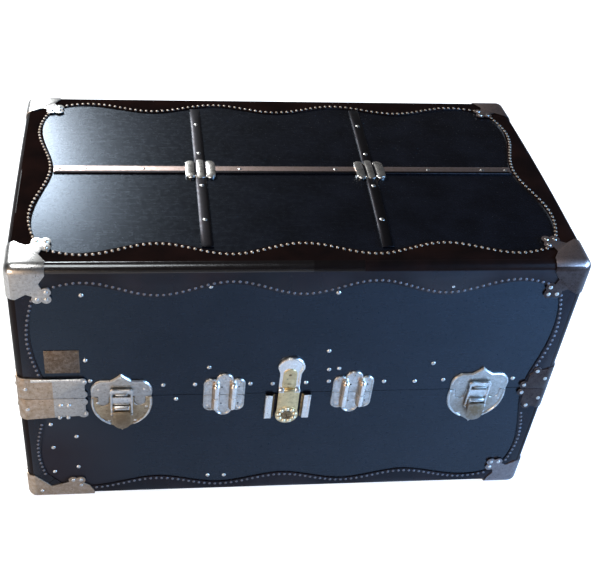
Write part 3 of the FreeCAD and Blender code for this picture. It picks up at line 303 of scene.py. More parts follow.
def shaded_shields(tree, dark):
    """Darkens a metal towards the middle of the draw bolts, in uneven patches round each lever: painted
    shade round the levers and links.
    """
    base_colour, place = feed(tree, "Base Color"), add_node(tree, "TexCoord", output="Object")
    cloud = add_node(tree, "MapRange", (grain(tree, place, 7, 4), 0.3, 0.7, -0.3, 0.3))
    for side in ("left", "right"):
        away = add_node(tree, "VectorMath", (place, centre_of(side + "_drawbolt_lever")), "Value",
                        operation="DISTANCE")
        near = add_node(tree, "MapRange", (away, 8 * MM, 44 * MM, 1.0, 0.0))
        uneven = add_node(tree, "Math", (near, cloud, near), operation="MULTIPLY_ADD", use_clamp=True)
        base_colour = add_node(tree, "Mix", {0: uneven, 6: base_colour, 7: dark}, 2, data_type="RGBA")
    connect(tree, Base_Color=base_colour)


def saddle_leather(name, fresh):
    """Oak-tanned leather, dyed and waxed: pores 1.3 mm apart and a dull sheen. Its thread too."""
    tree, place = new_finish(name, Metallic=0.0, IOR=1.5)
    pores = add_node(tree, "TexVoronoi", {"Vector": place, "Scale": 1 / (1.3 * MM)}, "Distance",
                     feature="SMOOTH_F1")
    mottle = add_node(tree, "MapRange", (grain(tree, place, 18, 4), 0.35, 0.7))
    rubbed = [min(1, part * 2.1) for part in fresh]
    connect(tree, Base_Color=add_node(tree, "Mix", {0: mottle, 6: fresh, 7: rubbed}, 2, data_type="RGBA"),
            Roughness=add_node(tree, "MapRange", (mottle, 0, 1, 0.42, 0.6)),
            Normal=add_node(tree, "Bump", {"Strength": 0.4, "Distance": 0.25 * MM, "Height": pores}))


def lining_linen(name, thread):
    """Plain-woven linen glued to the boards: threads 0.8 mm apart, drawn at 2 mm to show."""
    tree, place = new_finish(name, Metallic=0.0, IOR=1.5, Sheen_Weight=0.15)
    axes = place_axes(tree)
    waves = []
    for first, second in (("X", "Y"), ("Z", "X")):
        along = add_node(tree, "Math", (axes[first], axes[second]), operation="ADD")
        turns = add_node(tree, "Math", (along, math.tau / (2 * MM)), operation="MULTIPLY")
        waves.append(add_node(tree, "Math", (turns,), operation="SINE"))
    weave = add_node(tree, "Math", waves, operation="MULTIPLY")
    slubs = add_node(tree, "MapRange", (grain(tree, place, 3, 4, (0.12, 1, 1)), 0.3, 0.8))
    aged = [part * 0.72 for part in thread]
    connect(tree, Base_Color=add_node(tree, "Mix", {0: slubs, 6: thread, 7: aged}, 2, data_type="RGBA"),
            Roughness=add_node(tree, "MapRange", (slubs, 0, 1, 0.8, 0.95)),
            Normal=add_node(tree, "Bump", {"Strength": 0.35, "Distance": 0.2 * MM, "Height": weave}))


def birch_plywood(name, fresh):
    """Birch plywood: fine straight grain along the boards, unvarnished."""
    tree, place = new_finish(name, Metallic=0.0, IOR=1.5)
    fibres = grain(tree, place, 3, 4, (0.08, 1, 1))
    figure = add_node(tree, "MapRange", (fibres, 0.35, 0.7))
    dark = [part * 0.5 for part in fresh]
    connect(tree, Base_Color=add_node(tree, "Mix", {0: figure, 6: fresh, 7: dark}, 2, data_type="RGBA"),
            Roughness=add_node(tree, "MapRange", (figure, 0, 1, 0.55, 0.75)),
            Normal=add_node(tree, "Bump", {"Strength": 0.2, "Distance": 0.2 * MM, "Height": fibres}))


# metals: colours of the plate and its film, how rare the film is, roughness of both, patches in mm
METALS = {
    "bright_nickel": ("nickel", "nickel_film", 0.6, (0.2, 0.34), 8),
    "dulled_nickel": ("nickel_grey", "nickel_film", 0.5, (0.24, 0.4), 5),
    # browned nickel is partly a brown film and partly painted shade
    "browned_shaded_nickel": ("nickel_warm", "nickel_brown_shade", 0.48, (0.26, 0.42), 8),
    "gilded_shaded_nickel": ("nickel_gilt", "nickel_tarnish", 0.55, (0.24, 0.4), 8),
    "polished_nickel": ("nickel_pale", "nickel", 0.6, (0.2, 0.3), 5),
    "nail_nickel": ("nickel", "nickel_film", 0.6, (0.22, 0.36), 40),
    "top_nails": ("nail_top", "nickel_tarnish", 0.6, (0.44, 0.58), 40),
    "shaded_front_nails": ("nail_front_shaded", "steel", 0.6, (0.44, 0.58), 40),
    "dull_steel": ("steel", "nickel_tarnish", 0.66, (0.34, 0.46), 8),
    "rubbed_lit_steel": ("steel_rubbed", "steel", 0.6, (0.3, 0.42), 8),
    "greyed_steel": ("steel_greyed", "steel", 0.6, (0.3, 0.42), 8),
    "rusted_steel": ("steel_rusted", "binding_worn", 0.7, (0.34, 0.46), 8),
    "blued_steel": ("dark_steel", "binding_worn", 0.6, (0.3, 0.45), 8),
    "strip_steel": ("steel_rubbed", "nickel_tarnish", 0.62, (0.32, 0.44), 8),
    "pale_brass": ("brass", "brass_film", 0.55, (0.22, 0.38), 10),
    "bright_brass": ("brass_pale", "brass", 0.6, (0.2, 0.3), 5),
    "browned_brass": ("brass_film", "brass_tarnish", 0.45, (0.3, 0.48), 5),
    "tarnished_brass": ("brass_dark", "brass_tarnish", 0.5, (0.3, 0.48), 5),
}
# rubbed and rolled binding fibre, with painted highlight and shade among them: worn colour, roughness, and
# how strongly it mirrors
ROLLED_FIBRES = {
    "rubbed_highlight_fibre": ("binding", (0.18, 0.24), 1.0),
    "half_rubbed_highlight_fibre": ("binding", (0.18, 0.24), 0.4),
    "rolled_fibre": ("binding_worn", (0.3, 0.4), 0.06),
    "scuffed_and_shaded_fibre": ("binding_worn", (0.5, 0.6), 0.0),
}
# the record's slot of each finish that isn't nickelled steel
SLOTS = {
    "covering_fibre": "black_fibre_covering", "binding_fibre": "black_fibre_binding",
    "blued_steel": "dark_steel", "pale_brass": "lock_brass", "browned_brass": "lock_brass",
    "bright_brass": "lock_brass", "tarnished_brass": "lock_brass",
    "saddle_leather": "handle_leather", "waxed_thread": "handle_leather",
    "lining_linen": "lining_cloth", "birch_plywood": "wood",
}


def finishes():
    """Every finish by name, made once."""
    if "covering_fibre" not in bpy.data.materials:
        tint = colours()
        shaded_corner(calendered_fibre("covering_fibre", tint.covering, tint.covering_worn, (0.23, 0.3), 55,
                                     0.45, (0.54, 0.75, 1.0)), tint.binding_worn)
        lifted_scallops(calendered_fibre("binding_fibre", tint.binding, tint.binding_worn, (0.2, 0.27), 70,
                                         0.3, (0.6, 0.78, 1.0)))
        for name, (worn, gloss, specular) in ROLLED_FIBRES.items():
            calendered_fibre(name, tint.binding, getattr(tint, worn), gloss, 70, specular)
        for name, (plate, film, *look) in METALS.items():
            tree = plated_metal(name, getattr(tint, plate), getattr(tint, film), *look)
            # these two metals get painted shade round the draw bolts' levers
            if name in ("dulled_nickel", "gilded_shaded_nickel"):
                shaded_shields(tree, tint.nickel_tarnish)
        saddle_leather("saddle_leather", tint.leather)
        saddle_leather("waxed_thread", tint.thread)
        lining_linen("lining_linen", tint.cloth)
        birch_plywood("birch_plywood", tint.wood)
    return bpy.data.materials


def finish_node(node, finish):
    """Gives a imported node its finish."""
    mesh = frame["nodes"][node].data
    mesh.materials.clear()
    mesh.materials.append(finishes()[finish])


def paint(mesh, choose):
    """Gives each face the finish that a function names for it, or leaves it where that is None."""
    names = [finish.name for finish in mesh.materials]
    for face in mesh.polygons:
        name = choose(face)
        if name and name not in names:
            names.append(name)
            mesh.materials.append(finishes()[name])
        if name:
            face.material_index = names.index(name)


# ---------------------------------------------------------------- mesh helpers
# faces that meet within the first angle are shaded smooth, and edges past the second are rounded
SMOOTH_ANGLE, SHARP_ANGLE = math.radians(32), math.radians(35)
# a plate that carries a bead reaches less than this from its middle
PLATE_REACH = 60 * MM
# heads of the fasteners: radius and height in millimetres, then sides and rings where they differ
HEADS = {
    "corner_rivet": (3.6, 1.9), "repair_pin": (4.2, 3.0, 14, 4), "strip_rivet": (4.4, 2.3, 14, 4),
    "crossing_rivet": (8.4, 1.8, 20, 5), "lever_boss": (6.5, 2.6, 18, 4), "shield_rivet": (3.0, 2.0),
    "lobe_rivet": (3.2, 2.0), "lobe_screw": (2.8, 1.0), "hasp_boss": (4.0, 1.9, 14, 4),
    "tongue_rivet": (2.6, 1.4, 14, 4), "tongue_slot": (1.3, 0.7), "blank_pin": (1.6, 0.9, 8, 2),
    "flat_rivet": (3.4, 1.9),
}


def body_of_node(node):
    return frame["nodes"][node]["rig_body"]


def centre_of(node):
    low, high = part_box(node)
    return (low + high) / 2


def piece(name, mesh, body, finish):
    """Object at the origin that rides on a body and wears a finish."""
    mesh.polygons.foreach_set("use_smooth", [True] * len(mesh.polygons))
    mesh.set_sharp_from_angle(angle=SMOOTH_ANGLE)
    if not mesh.materials:
        mesh.materials.append(finishes()[finish])
    made = bpy.data.objects.new(name, mesh)
    bpy.context.scene.collection.objects.link(made)
    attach(made, body)
    SLOTS.get(finish, "nickelled_steel")
    return made


def to_mesh(bm, name):
    mesh = bpy.data.meshes.new(name)
    bm.to_mesh(mesh)
    bm.free()
    return mesh


def only(items, kind):
    """Vertices or edges among what an operator made."""
    return [item for item in items if isinstance(item, kind)]


def cut(bm, spot, direction, **options):
    """Cuts a mesh along the plane through a place."""
    bmesh.ops.bisect_plane(bm, geom=bm.verts[:] + bm.edges[:] + bm.faces[:], plane_co=spot,
                           plane_no=direction, **options)


def node_copy(node):
    """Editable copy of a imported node, with its doubles merged and its flat faces whole."""
    bm = bmesh.new()
    bm.from_mesh(frame["nodes"][node].data)
    bmesh.ops.remove_doubles(bm, verts=bm.verts, dist=0.005 * MM)
    bmesh.ops.dissolve_limit(bm, angle_limit=math.radians(0.5), verts=bm.verts, edges=bm.edges)
    return bm


def front_faces(bm):
    """Flat faces that look to the front, at the level where they have the most area."""
    levels = {}
    for face in bm.faces:
        if face.normal.dot(FRONT) > 0.999:
            level = round(face.calc_center_median().dot(FRONT) / (0.1 * MM))
            levels.setdefault(level, []).append(face)
    return max(levels.values(), key=lambda faces: sum(face.calc_area() for face in faces))


def outline(faces):
    """Longest line round some flat faces, as places in order."""
    inside = set(faces)
    edges = {edge for face in faces for edge in face.edges
             if sum(link in inside for link in edge.link_faces) == 1}
    lines = []
    while edges:
        line = list(edges.pop().verts)
        while True:
            following = next((edge for edge in line[-1].link_edges if edge in edges), None)
            if following is None:
                break
            edges.discard(following)
            line.append(following.other_vert(line[-1]))
        lines.append([vert.co.copy() for vert in line])
    return max(lines, key=lambda line: sum((end - start).length for start, end in zip(line, line[1:])))


def rim_paths(node, centre, inset, wanted):
    """Runs of places a distance inside the front outline of the plate at a centre. A place is
    wanted by its distance across from the centre and its rise above the seam."""
    bm = node_copy(node)
    line = outline([face for face in front_faces(bm)
                    if abs(face.calc_center_median().x - centre) < PLATE_REACH])
    bm.free()
    line.pop()
    area = sum(a.x * b.z - b.x * a.z for a, b in zip(line, line[1:] + line[:1]))
    turn = 1 if area > 0 else -1
    kept = [wanted(abs(spot.x - centre), spot.z - SEAM_Z) for spot in line]
    first = kept.index(False)
    runs, run = [], []
    for index in [*range(first, len(line)), *range(first + 1)]:
        if kept[index]:
            along = (line[(index + 1) % len(line)] - line[index - 1]).normalized()
            run.append(line[index] + Vector((-along.z, 0, along.x)) * turn * inset)
        elif run:
            runs.append(run)
            run = []
    return [run for run in runs if len(run) > 2]


def crown(bm, rim, rise):
    """Raises the middle of the top of a bar, so that it is rounded across."""
    faces = [face for face in bm.faces if face.normal.z > 0.9]
    bmesh.ops.inset_region(bm, faces=faces, thickness=rim, depth=0, use_even_offset=True,
                           use_boundary=True)
    bmesh.ops.translate(bm, vec=UP * rise, verts=list({vert for face in faces for vert in face.verts}))


def soften(bm, width, segments=2):
    """Rounds the sharp edges."""
    bm.normal_update()
    sharp = [edge for edge in bm.edges
             if len(edge.link_faces) == 2 and edge.calc_face_angle() > SHARP_ANGLE]
    bmesh.ops.bevel(bm, geom=sharp, offset=width, offset_type="OFFSET", segments=segments,
                    profile=0.5, affect="EDGES", clamp_overlap=True, material=-1)


def dressed(node, finish, width, segments=2, shape=None):
    """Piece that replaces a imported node: the same form with its edges rounded. Returns its mesh."""
    bm = node_copy(node)
    if shape:
        shape(bm)
    soften(bm, width, segments)
    made = piece(node + "_pressed", to_mesh(bm, node), body_of_node(node), finish)
    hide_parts(node)
    return made.data


def two_tone(node, rim_finish, finish, width):
    """Dressed node whose flat front has another finish than its edges: the edges are brighter, partly
    rubbing and partly painted highlight, and the front is darker, as painted shade inside them.
    """
    def mark(bm):
        for face in front_faces(bm):
            face.material_index = 1
    mesh = dressed(node, rim_finish, width, segments=3, shape=mark)
    mesh.materials.append(finishes()[finish])
    return mesh


def dome(radius, height, sides=12, rings=3):
    """Round head on a flat base, up +Z."""
    bm = bmesh.new()
    bmesh.ops.create_uvsphere(bm, u_segments=sides, v_segments=2 * rings, radius=radius)
    cut(bm, (0, 0, 0), UP, clear_inner=True)
    bmesh.ops.holes_fill(bm, edges=bm.edges, sides=0)
    bmesh.ops.scale(bm, vec=(1, 1, height / radius), verts=bm.verts)
    bmesh.ops.recalc_face_normals(bm, faces=bm.faces)
    return to_mesh(bm, "dome")


def fastener(kind):
    """Head of a kind of fastener."""
    radius, height, *fineness = HEADS[kind]
    return dome(radius * MM, height * MM, *fineness)


def scattered(name, template, places, body, finish):
    """Copies of a small mesh at (place, outward direction) pairs, in one piece."""
    bm = bmesh.new()
    for spot, outward in places:
        start = len(bm.verts)
        bm.from_mesh(template)
        bm.verts.ensure_lookup_table()
        turn = outward.to_track_quat("Z", "Y").to_matrix().to_4x4()
        bmesh.ops.transform(bm, matrix=Matrix.Translation(spot) @ turn, verts=bm.verts[start:])
    piece(name, to_mesh(bm, name), body, finish)


def by_body(name, template, places, finish):
    """Scattered heads, those above the seam on the lid and the others on the base."""
    groups = {"lid": [], "base": []}
    for spot, outward in places:
        groups["lid" if spot.z > SEAM_Z else "base"].append((spot, outward))
    for body, chosen in groups.items():
        if chosen:
            scattered(f"{body}_{name}", template, chosen, body, finish)


def wire(name, points, radius):
    """Mesh of a round wire along points."""
    curve = bpy.data.curves.new(name, "CURVE")
    curve.dimensions = "3D"
    curve.bevel_depth = radius
    curve.bevel_resolution = 3
    curve.use_fill_caps = True
    spline = curve.splines.new("POLY")
    spline.points.add(len(points) - 1)
    for point, place in zip(spline.points, points):
        point.co = (*place, 1)
    holder = bpy.data.objects.new(name, curve)
    mesh = bpy.data.meshes.new_from_object(holder)
    bpy.data.objects.remove(holder)
    return mesh


def beads(name, paths, radius, body, finish="bright_nickel"):
    """One piece of raised beads along some paths."""
    bm = bmesh.new()
    for path in paths:
        bm.from_mesh(wire(name, path, radius))
    piece(name, to_mesh(bm, name), body, finish)


# ---------------------------------------------------------------- places on the case
# nail rows: least and most distance from the edge, in millimetres
TOP_ROW = (29.0, 55.0)
UPRIGHT_ROW = (24.0, 44.0)
BOTTOM_ROW = (21.0, 42.0)
# where the rows stop short of caps and clamps
CAP_STOP = 63.0
LONG_CAP_STOP = 121.0
CLAMP_STOP = 55.0
# lobes of a corner cap: inwards and away from the edge, in millimetres
CAP_LOBES = ((60, 60), (60, 46), (46, 60))
LONG_CAP_LOBES = ((94, 45), (94, 31), (80, 45), (24, 18))
# lobes of a seam clamp: inwards and above the seam
CLAMP_LOBES = ((48, 9), (48, -9), (32, 42), (32, -42), (14, 24), (14, -24))
LONG_CLAMP_LOBES = ((110, 38), (110, -38), (66, -46), (80, -46), (14, 24), (14, -24))
CAP_SHEET = 1.8 * MM
# the repair plate of the long clamp starts here, and its pins and bead are across and above the seam
REPAIR_START = 58 * MM
REPAIR_PINS = ((69, -16), (82, -16))
REPAIR_BEAD = ((24, 43), (50, 43), (84, 43), (104, 43))
# where the painted highlight on the lid's rolled front edge, partly polish, starts to fade, and where it
# ends
HIGHLIGHT_ENDS = (0.01, 0.09)
# how far that edge reaches back and down
ROLL_DEPTH, ROLL_DROP = 13.5 * MM, 19.5 * MM
# loose rivets on the front panel: along it and up from the case's bottom
LOOSE_RIVETS = (
    (-345, 478), (-147, 493), (54, 478), (237, 489), (-338, 293), (-218, 280), (-196, 246),
    (-165, 280), (-143, 319), (-72, 279), (-34, 278), (23, 279), (54, 352), (59, 309), (76, 311),
    (62, 281), (158, 278), (212, 277), (237, 319), (262, 279), (386, 279), (-344, 340),
    (-408, 190), (-407, 131), (-408, 67), (-366, 158), (-366, 78), (-135, 44), (-105, 43),
)
# rivets along the centre strip, and along each cross strap behind and before the strip
STRIP_RIVETS = (-387, -344, -247, -83, 83, 247, 344, 387)
STRAP_RIVETS = (149, 50, -49, -143)
# how far each cross strap leans sideways for its length
STRAP_LEANS = (0.003, 0.043)
# how far the metal under the rivets of strip, straps and crossing clamps stands above the top
STRIP_OUT, STRAP_OUT, CLAMP_OUT = 0.35 * MM, 0.7 * MM, 1.0 * MM
# lobes of a crossing clamp: along the trunk and across it from the clamp's middle
CROSSING_LOBES = tuple((column, across) for column in (-16.6, 0, 16.6) for across in (-18, 18))
# cuts for the grooves of a crossing clamp, across from its middle, and for the steps at its ends
GROOVE_CUTS = (-10.6, -9.8, -6.8, -6.0, 6.0, 6.8, 9.8, 10.6)
END_CUTS = (-11.5, -10, 10, 11.5)
# distances from the clamp's middle between which a groove is sunk, and between which it is painted dark as
# shade
GROOVE_SUNK, GROOVE_SHADE = (6.7 * MM, 9.9 * MM), (6.2 * MM, 10.4 * MM)
# rivets of a draw bolt, a dowel plate and a hinge: across from its middle and above the seam
SHIELD_RIVETS = ((-38, 17), (38, 17), (-40, -14), (41, -24), (-22, -58), (22, -58), (0, 44))
PLATE_RIVETS = ((-26, 27), (27, 27), (0, 38), (-26, -27), (26, -27), (-6, -39), (6, -39))
PLATE_SCREWS = ((-4.5, 18), (24.5, 18), (-4.5, -21), (24.5, -21))
HINGE_RIVETS = tuple((across, rise) for across in (-21, 0, 21) for rise in (-29, 29))
# raised beads: how far inside the outline they run, and their radius
SHIELD_BEAD, LOBE_BEAD = (2.6 * MM, 2.0 * MM), (2.0 * MM, 1.6 * MM)
RING_BOSSES = 9


def crown_z(y):
    """Height of the arched top's outer face at a place across the depth."""
    rise = sizes().crown_rise
    radius = (HALF_Y ** 2 + rise ** 2) / (2 * rise)
    return CASE_HIGH.z - radius + math.sqrt(radius ** 2 - (y - MIDDLE.y) ** 2)


def on_top(x, y, out=0.0):
    """Place on the arched top or a little above it, with its outward direction."""
    return Vector((x, y, crown_z(y) + out)), UP


def seam_places(x, y, spots, outward=FRONT):
    """(place, outward direction) pairs, from millimetres across from a middle and above the seam."""
    return [(Vector((x + across * MM, y, SEAM_Z + rise * MM)), outward) for across, rise in spots]


def row(start, end, period, ends):
    """(along, inset) pairs of a scalloped row, one nail pitch apart along the curve."""
    narrow, wide = ends
    swing = (wide - narrow) / 2
    pitch = sizes().nail_pitch / MM
    turns = math.tau / period
    along, places = start, []
    while along <= end:
        places.append((along, narrow + swing * (1 + math.cos(along * turns))))
        slope = swing * turns * math.sin(along * turns)
        along += pitch / math.hypot(1, slope)
    return places


def nail_places():
    """Places and outward directions of every binding nail."""
    half_x, half_y = HALF_X / MM, HALF_Y / MM
    top = crown_z(CASE_LOW.y)
    height, lid = (top - CASE_LOW.z) / MM, (top - SEAM_Z) / MM
    places = []

    def add(x, y, z, outward):
        places.append((Vector((x, y, z)), outward))

    def uprights():
        """(above the seam, inset) pairs beside an upright edge, on the lid and then on the base."""
        for start, end in ((CLAMP_STOP, lid - CAP_STOP), (CAP_STOP + lid - height, -CLAMP_STOP)):
            yield from row(start, end, height / 2, UPRIGHT_ROW)

    for side, outward, face in ((-1, FRONT, CASE_LOW.y), (1, BACK, CASE_HIGH.y)):
        low_start = LONG_CAP_STOP if side < 0 else CAP_STOP
        for along, inset in row(CAP_STOP - half_x, half_x - CAP_STOP, half_x / 2, TOP_ROW):
            add(along * MM, face, top - inset * MM, outward)
            places.append(on_top(along * MM, face - side * inset * MM))
        for along, inset in row(low_start - half_x, half_x - CAP_STOP, half_x / 2, BOTTOM_ROW):
            add(along * MM, face, CASE_LOW.z + inset * MM, outward)
        for along, inset in row(CAP_STOP - half_x, half_x - CAP_STOP, half_x / 2, BOTTOM_ROW):
            add(along * MM, face - side * inset * MM, CASE_LOW.z, DOWN)
        for rise, inset in uprights():
            for end in (-1, 1):
                add(end * (half_x - inset) * MM, face, SEAM_Z + rise * MM, outward)
    for side, outward, face in ((-1, LEFT, CASE_LOW.x), (1, RIGHT, CASE_HIGH.x)):
        for along, inset in row(CAP_STOP - half_y, half_y - CAP_STOP, half_y, TOP_ROW):
            y = MIDDLE.y + along * MM
            add(face, y, top - inset * MM, outward)
            places.append(on_top(face - side * inset * MM, y))
        for along, inset in row(CAP_STOP - half_y, half_y - CAP_STOP, half_y, BOTTOM_ROW):
            y = MIDDLE.y + along * MM
            add(face, y, CASE_LOW.z + inset * MM, outward)
            add(face - side * inset * MM, y, CASE_LOW.z, DOWN)
        for rise, inset in uprights():
            for end in (-1, 1):
                add(face, MIDDLE.y + end * (half_y - inset) * MM, SEAM_Z + rise * MM, outward)
    return places


def lobe_places(sides, level, end_lobes, front_lobes):
    """Places on the lobes of a corner piece: those on the case's end, and those on its front or
    back, each with a twin on the top where the piece is a top cap."""
    side_x, side_y, side_z = sides
    edge_y = MIDDLE.y + side_y * HALF_Y
    places = []
    for inwards, away in end_lobes:
        spot = (side_x * (HALF_X + CAP_SHEET), edge_y - side_y * inwards * MM, level - side_z * away * MM)
        places.append((Vector(spot), RIGHT * side_x))
    for inwards, away in front_lobes:
        x = side_x * (HALF_X - inwards * MM)
        spot = (x, edge_y + side_y * CAP_SHEET, level - side_z * away * MM)
        places.append((Vector(spot), BACK * side_y))
        if side_z > 0:
            places.append(on_top(x, edge_y - side_y * away * MM, CAP_SHEET))
    return places


def corner_rivet_places():
    """Rivets on the lobes of the corner caps and the seam clamps."""
    caps, clamps = [], []
    for side_x in (-1, 1):
        for side_y in (-1, 1):
            long = (side_x, side_y) == (-1, -1)
            caps += lobe_places((side_x, side_y, -1), CASE_LOW.z, CAP_LOBES,
                                LONG_CAP_LOBES if long else CAP_LOBES)
            caps += lobe_places((side_x, side_y, 1), crown_z(CASE_LOW.y), CAP_LOBES, CAP_LOBES)
            clamps += lobe_places((side_x, side_y, -1), SEAM_Z, CLAMP_LOBES,
                                  LONG_CLAMP_LOBES if long else CLAMP_LOBES)
    return caps + clamps


# ---------------------------------------------------------------- operators
class TRUNK_OT_stage(bpy.types.Operator):
    """Floor, backdrop, lamps and camera"""
    bl_idname = "trunk.stage"
    bl_label = "Stage"

    def execute(self, context):
        self.make_camera(context.scene)
        self.make_floor()
        self.make_light(context.scene)
        return {"FINISHED"}

    def make_camera(self, scene):
        data = bpy.data.cameras.new("camera")
        data.sensor_width = 36
        data.lens = 59.69
        data.shift_x = 0.0824
        data.shift_y = 0.0002
        camera = bpy.data.objects.new("camera", data)
        camera.location = (-0.2613, -1.4073, 1.4656)
        camera.rotation_euler = [math.radians(angle) for angle in (50.074, -3.744, -5.333)]
        scene.collection.objects.link(camera)
        scene.camera = camera

    def make_floor(self):
        """A round floor that curves up into a low wall all the way round."""
        bm = bmesh.new()
        bmesh.ops.create_circle(bm, cap_ends=True, segments=96, radius=5.0)
        rim = [edge for edge in bm.edges if edge.is_boundary]
        for out, rise in ((0.35, 0.1), (0.25, 0.3), (0.1, 0.4), (0.0, 0.9)):
            grown = bmesh.ops.extrude_edge_only(bm, edges=rim)["geom"]
            rim, verts = only(grown, bmesh.types.BMEdge), only(grown, bmesh.types.BMVert)
            growth = 1 + out / verts[0].co.xy.length
            bmesh.ops.scale(bm, vec=(growth, growth, 1), verts=verts)
            bmesh.ops.translate(bm, vec=(0, 0, rise), verts=verts)
        mesh = to_mesh(bm, "studio_floor")
        mesh.polygons.foreach_set("use_smooth", [True] * len(mesh.polygons))
        self.make_paper()
        mesh.materials.append(bpy.data.materials["studio_paper"])
        floor = bpy.data.objects.new("studio_floor", mesh)
        bpy.context.scene.collection.objects.link(floor)
        floor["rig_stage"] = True

    def make_paper(self):
        """Paper that looks lighter than the lamps make it, which leaves their light on the trunk alone."""
        tree, _ = new_finish("studio_paper", Roughness=0.9, Specular_IOR_Level=0.1,
                             Base_Color=(*colours().floor, 1))
        rays = add_node(tree, "LightPath").node.outputs
        seen = 0.0
        for kind, strength in (("Camera", 0.8), ("Glossy", 0.05), ("Transmission", 0.05)):
            seen = add_node(tree, "Math", (rays[f"Is {kind} Ray"], strength, seen), operation="MULTIPLY_ADD")
        glow = add_node(tree, "Emission", {"Color": (1, 1, 1), "Strength": seen})
        both = add_node(tree, "AddShader", (shader_of(tree).outputs[0], glow))
        tree.links.new(both, tree.nodes["Material Output"].inputs["Surface"])

    def make_light(self, scene):
        world = bpy.data.worlds.new("studio")
        world.use_nodes = True
        sky = world.node_tree.nodes["Background"]
        sky.inputs["Color"].default_value = (1.0, 0.96, 0.93, 1)
        # above the wall the room is seen as white as the paper, and gives hardly any light
        seen = add_node(world.node_tree, "LightPath", output="Is Camera Ray")
        strength = add_node(world.node_tree, "MapRange", (seen, 0, 1, 0.03, 1.1))
        world.node_tree.links.new(strength, sky.inputs["Strength"])
        scene.world = world
        scene.view_settings.view_transform = "Standard"
        lamps = (
            # name, place, aimed at, width, height, watts, tint
            ("window_lamp", (-1.2, 2.15, 1.8), (-0.5, 0.0, 0.54), 1.2, 1.0, 140, (0.88, 0.94, 1.0)),
            ("high_lamp", (-0.75, -0.75, 2.7), (-0.35, -0.25, 0.5), 1.1, 0.8, 24, (0.92, 0.96, 1.0)),
            ("right_lamp", (1.4, -0.75, 0.8), (0.35, -0.4, 0.0), 1.2, 0.7, 66, (0.27, 0.54, 1.0)),
            ("left_lamp", (-1.6, -2.0, 0.8), (-0.35, -0.4, 0.1), 1.4, 0.8, 36, (1.0, 0.78, 0.6)),
        )
        for name, place, target, width, height, watts, tint in lamps:
            data = bpy.data.lights.new(name, "AREA")
            data.shape = "RECTANGLE"
            data.size, data.size_y = width, height
            data.energy = watts
            data.color = tint
            lamp = bpy.data.objects.new(name, data)
            lamp.location = place
            aim = Vector(target) - Vector(place)
            lamp.rotation_euler = aim.to_track_quat("-Z", "Y").to_euler()
            scene.collection.objects.link(lamp)


class TRUNK_OT_case(bpy.types.Operator):
    """Fibre, wood and linen of the case"""
    bl_idname = "trunk.case"
    bl_label = "Case"

    def execute(self, context):
        for half in ("base", "lid"):
            finish_node(half + "_box", "birch_plywood")
            finish_node(half + "_covering", "covering_fibre")
            finish_node(half + "_lining", "lining_linen")
        finish_node("base_rim_strip", "blued_steel")
        for node in ("base_corner_bindings", "lid_corner_bindings", "lid_top_bindings",
                     "base_bottom_bindings"):
            paint(dressed(node, "binding_fibre", 0.5 * MM, shape=self.cut_roll), self.wear_and_highlight)
        return {"FINISHED"}

    def cut_roll(self, bm):
        """Cuts a binding where the painted highlight of its rolled edge, partly polish, fades."""
        for end in HIGHLIGHT_ENDS:
            cut(bm, (end, 0, 0), RIGHT)

    def wear_and_highlight(self, face):
        """Finish of a binding's face. The lid's rolled front edge mirrors strongly on the left and hardly on
        the right: partly polish by hands, partly painted highlight. Flat tops are dull without the blue
        sheen: partly scuffing, partly painted shade.
        """
        near = face.center.y - CASE_LOW.y < ROLL_DEPTH and CASE_HIGH.z - face.center.z < ROLL_DROP
        if near and max(abs(part) for part in face.normal) < 0.995:
            if face.center.x < HIGHLIGHT_ENDS[0]:
                return "rubbed_highlight_fibre"
            return "half_rubbed_highlight_fibre" if face.center.x < HIGHLIGHT_ENDS[1] else "rolled_fibre"
        if face.normal.z > 0.9:
            return "scuffed_and_shaded_fibre"
        return "rolled_fibre" if 0.15 < abs(face.normal.x) < 0.98 else None


class TRUNK_OT_nails(bpy.types.Operator):
    """Nails along the scalloped bindings"""
    bl_idname = "trunk.nails"
    bl_label = "Binding nails"

    def execute(self, context):
        head = dome(sizes().nail_radius, sizes().nail_height)
        places = nail_places()
        by_body("top_nails", head, [place for place in places if place[1].z > 0.5], "top_nails")
        # nails on upright faces wear the darker plate, as painted shade
        by_body("side_nails", head, [place for place in places if place[1].z <= 0.5], "shaded_front_nails")
        return {"FINISHED"}


class TRUNK_OT_rivets(bpy.types.Operator):
    """Loose rivets of the front panel"""
    bl_idname = "trunk.rivets"
    bl_label = "Panel rivets"

    def execute(self, context):
        head = dome(sizes().rivet_radius, sizes().rivet_height, 14, 4)
        places = [(Vector((x * MM, PANEL_LOW.y, CASE_LOW.z + z * MM)), FRONT) for x, z in LOOSE_RIVETS]
        by_body("panel_rivets", head, places, "nail_nickel")
        return {"FINISHED"}


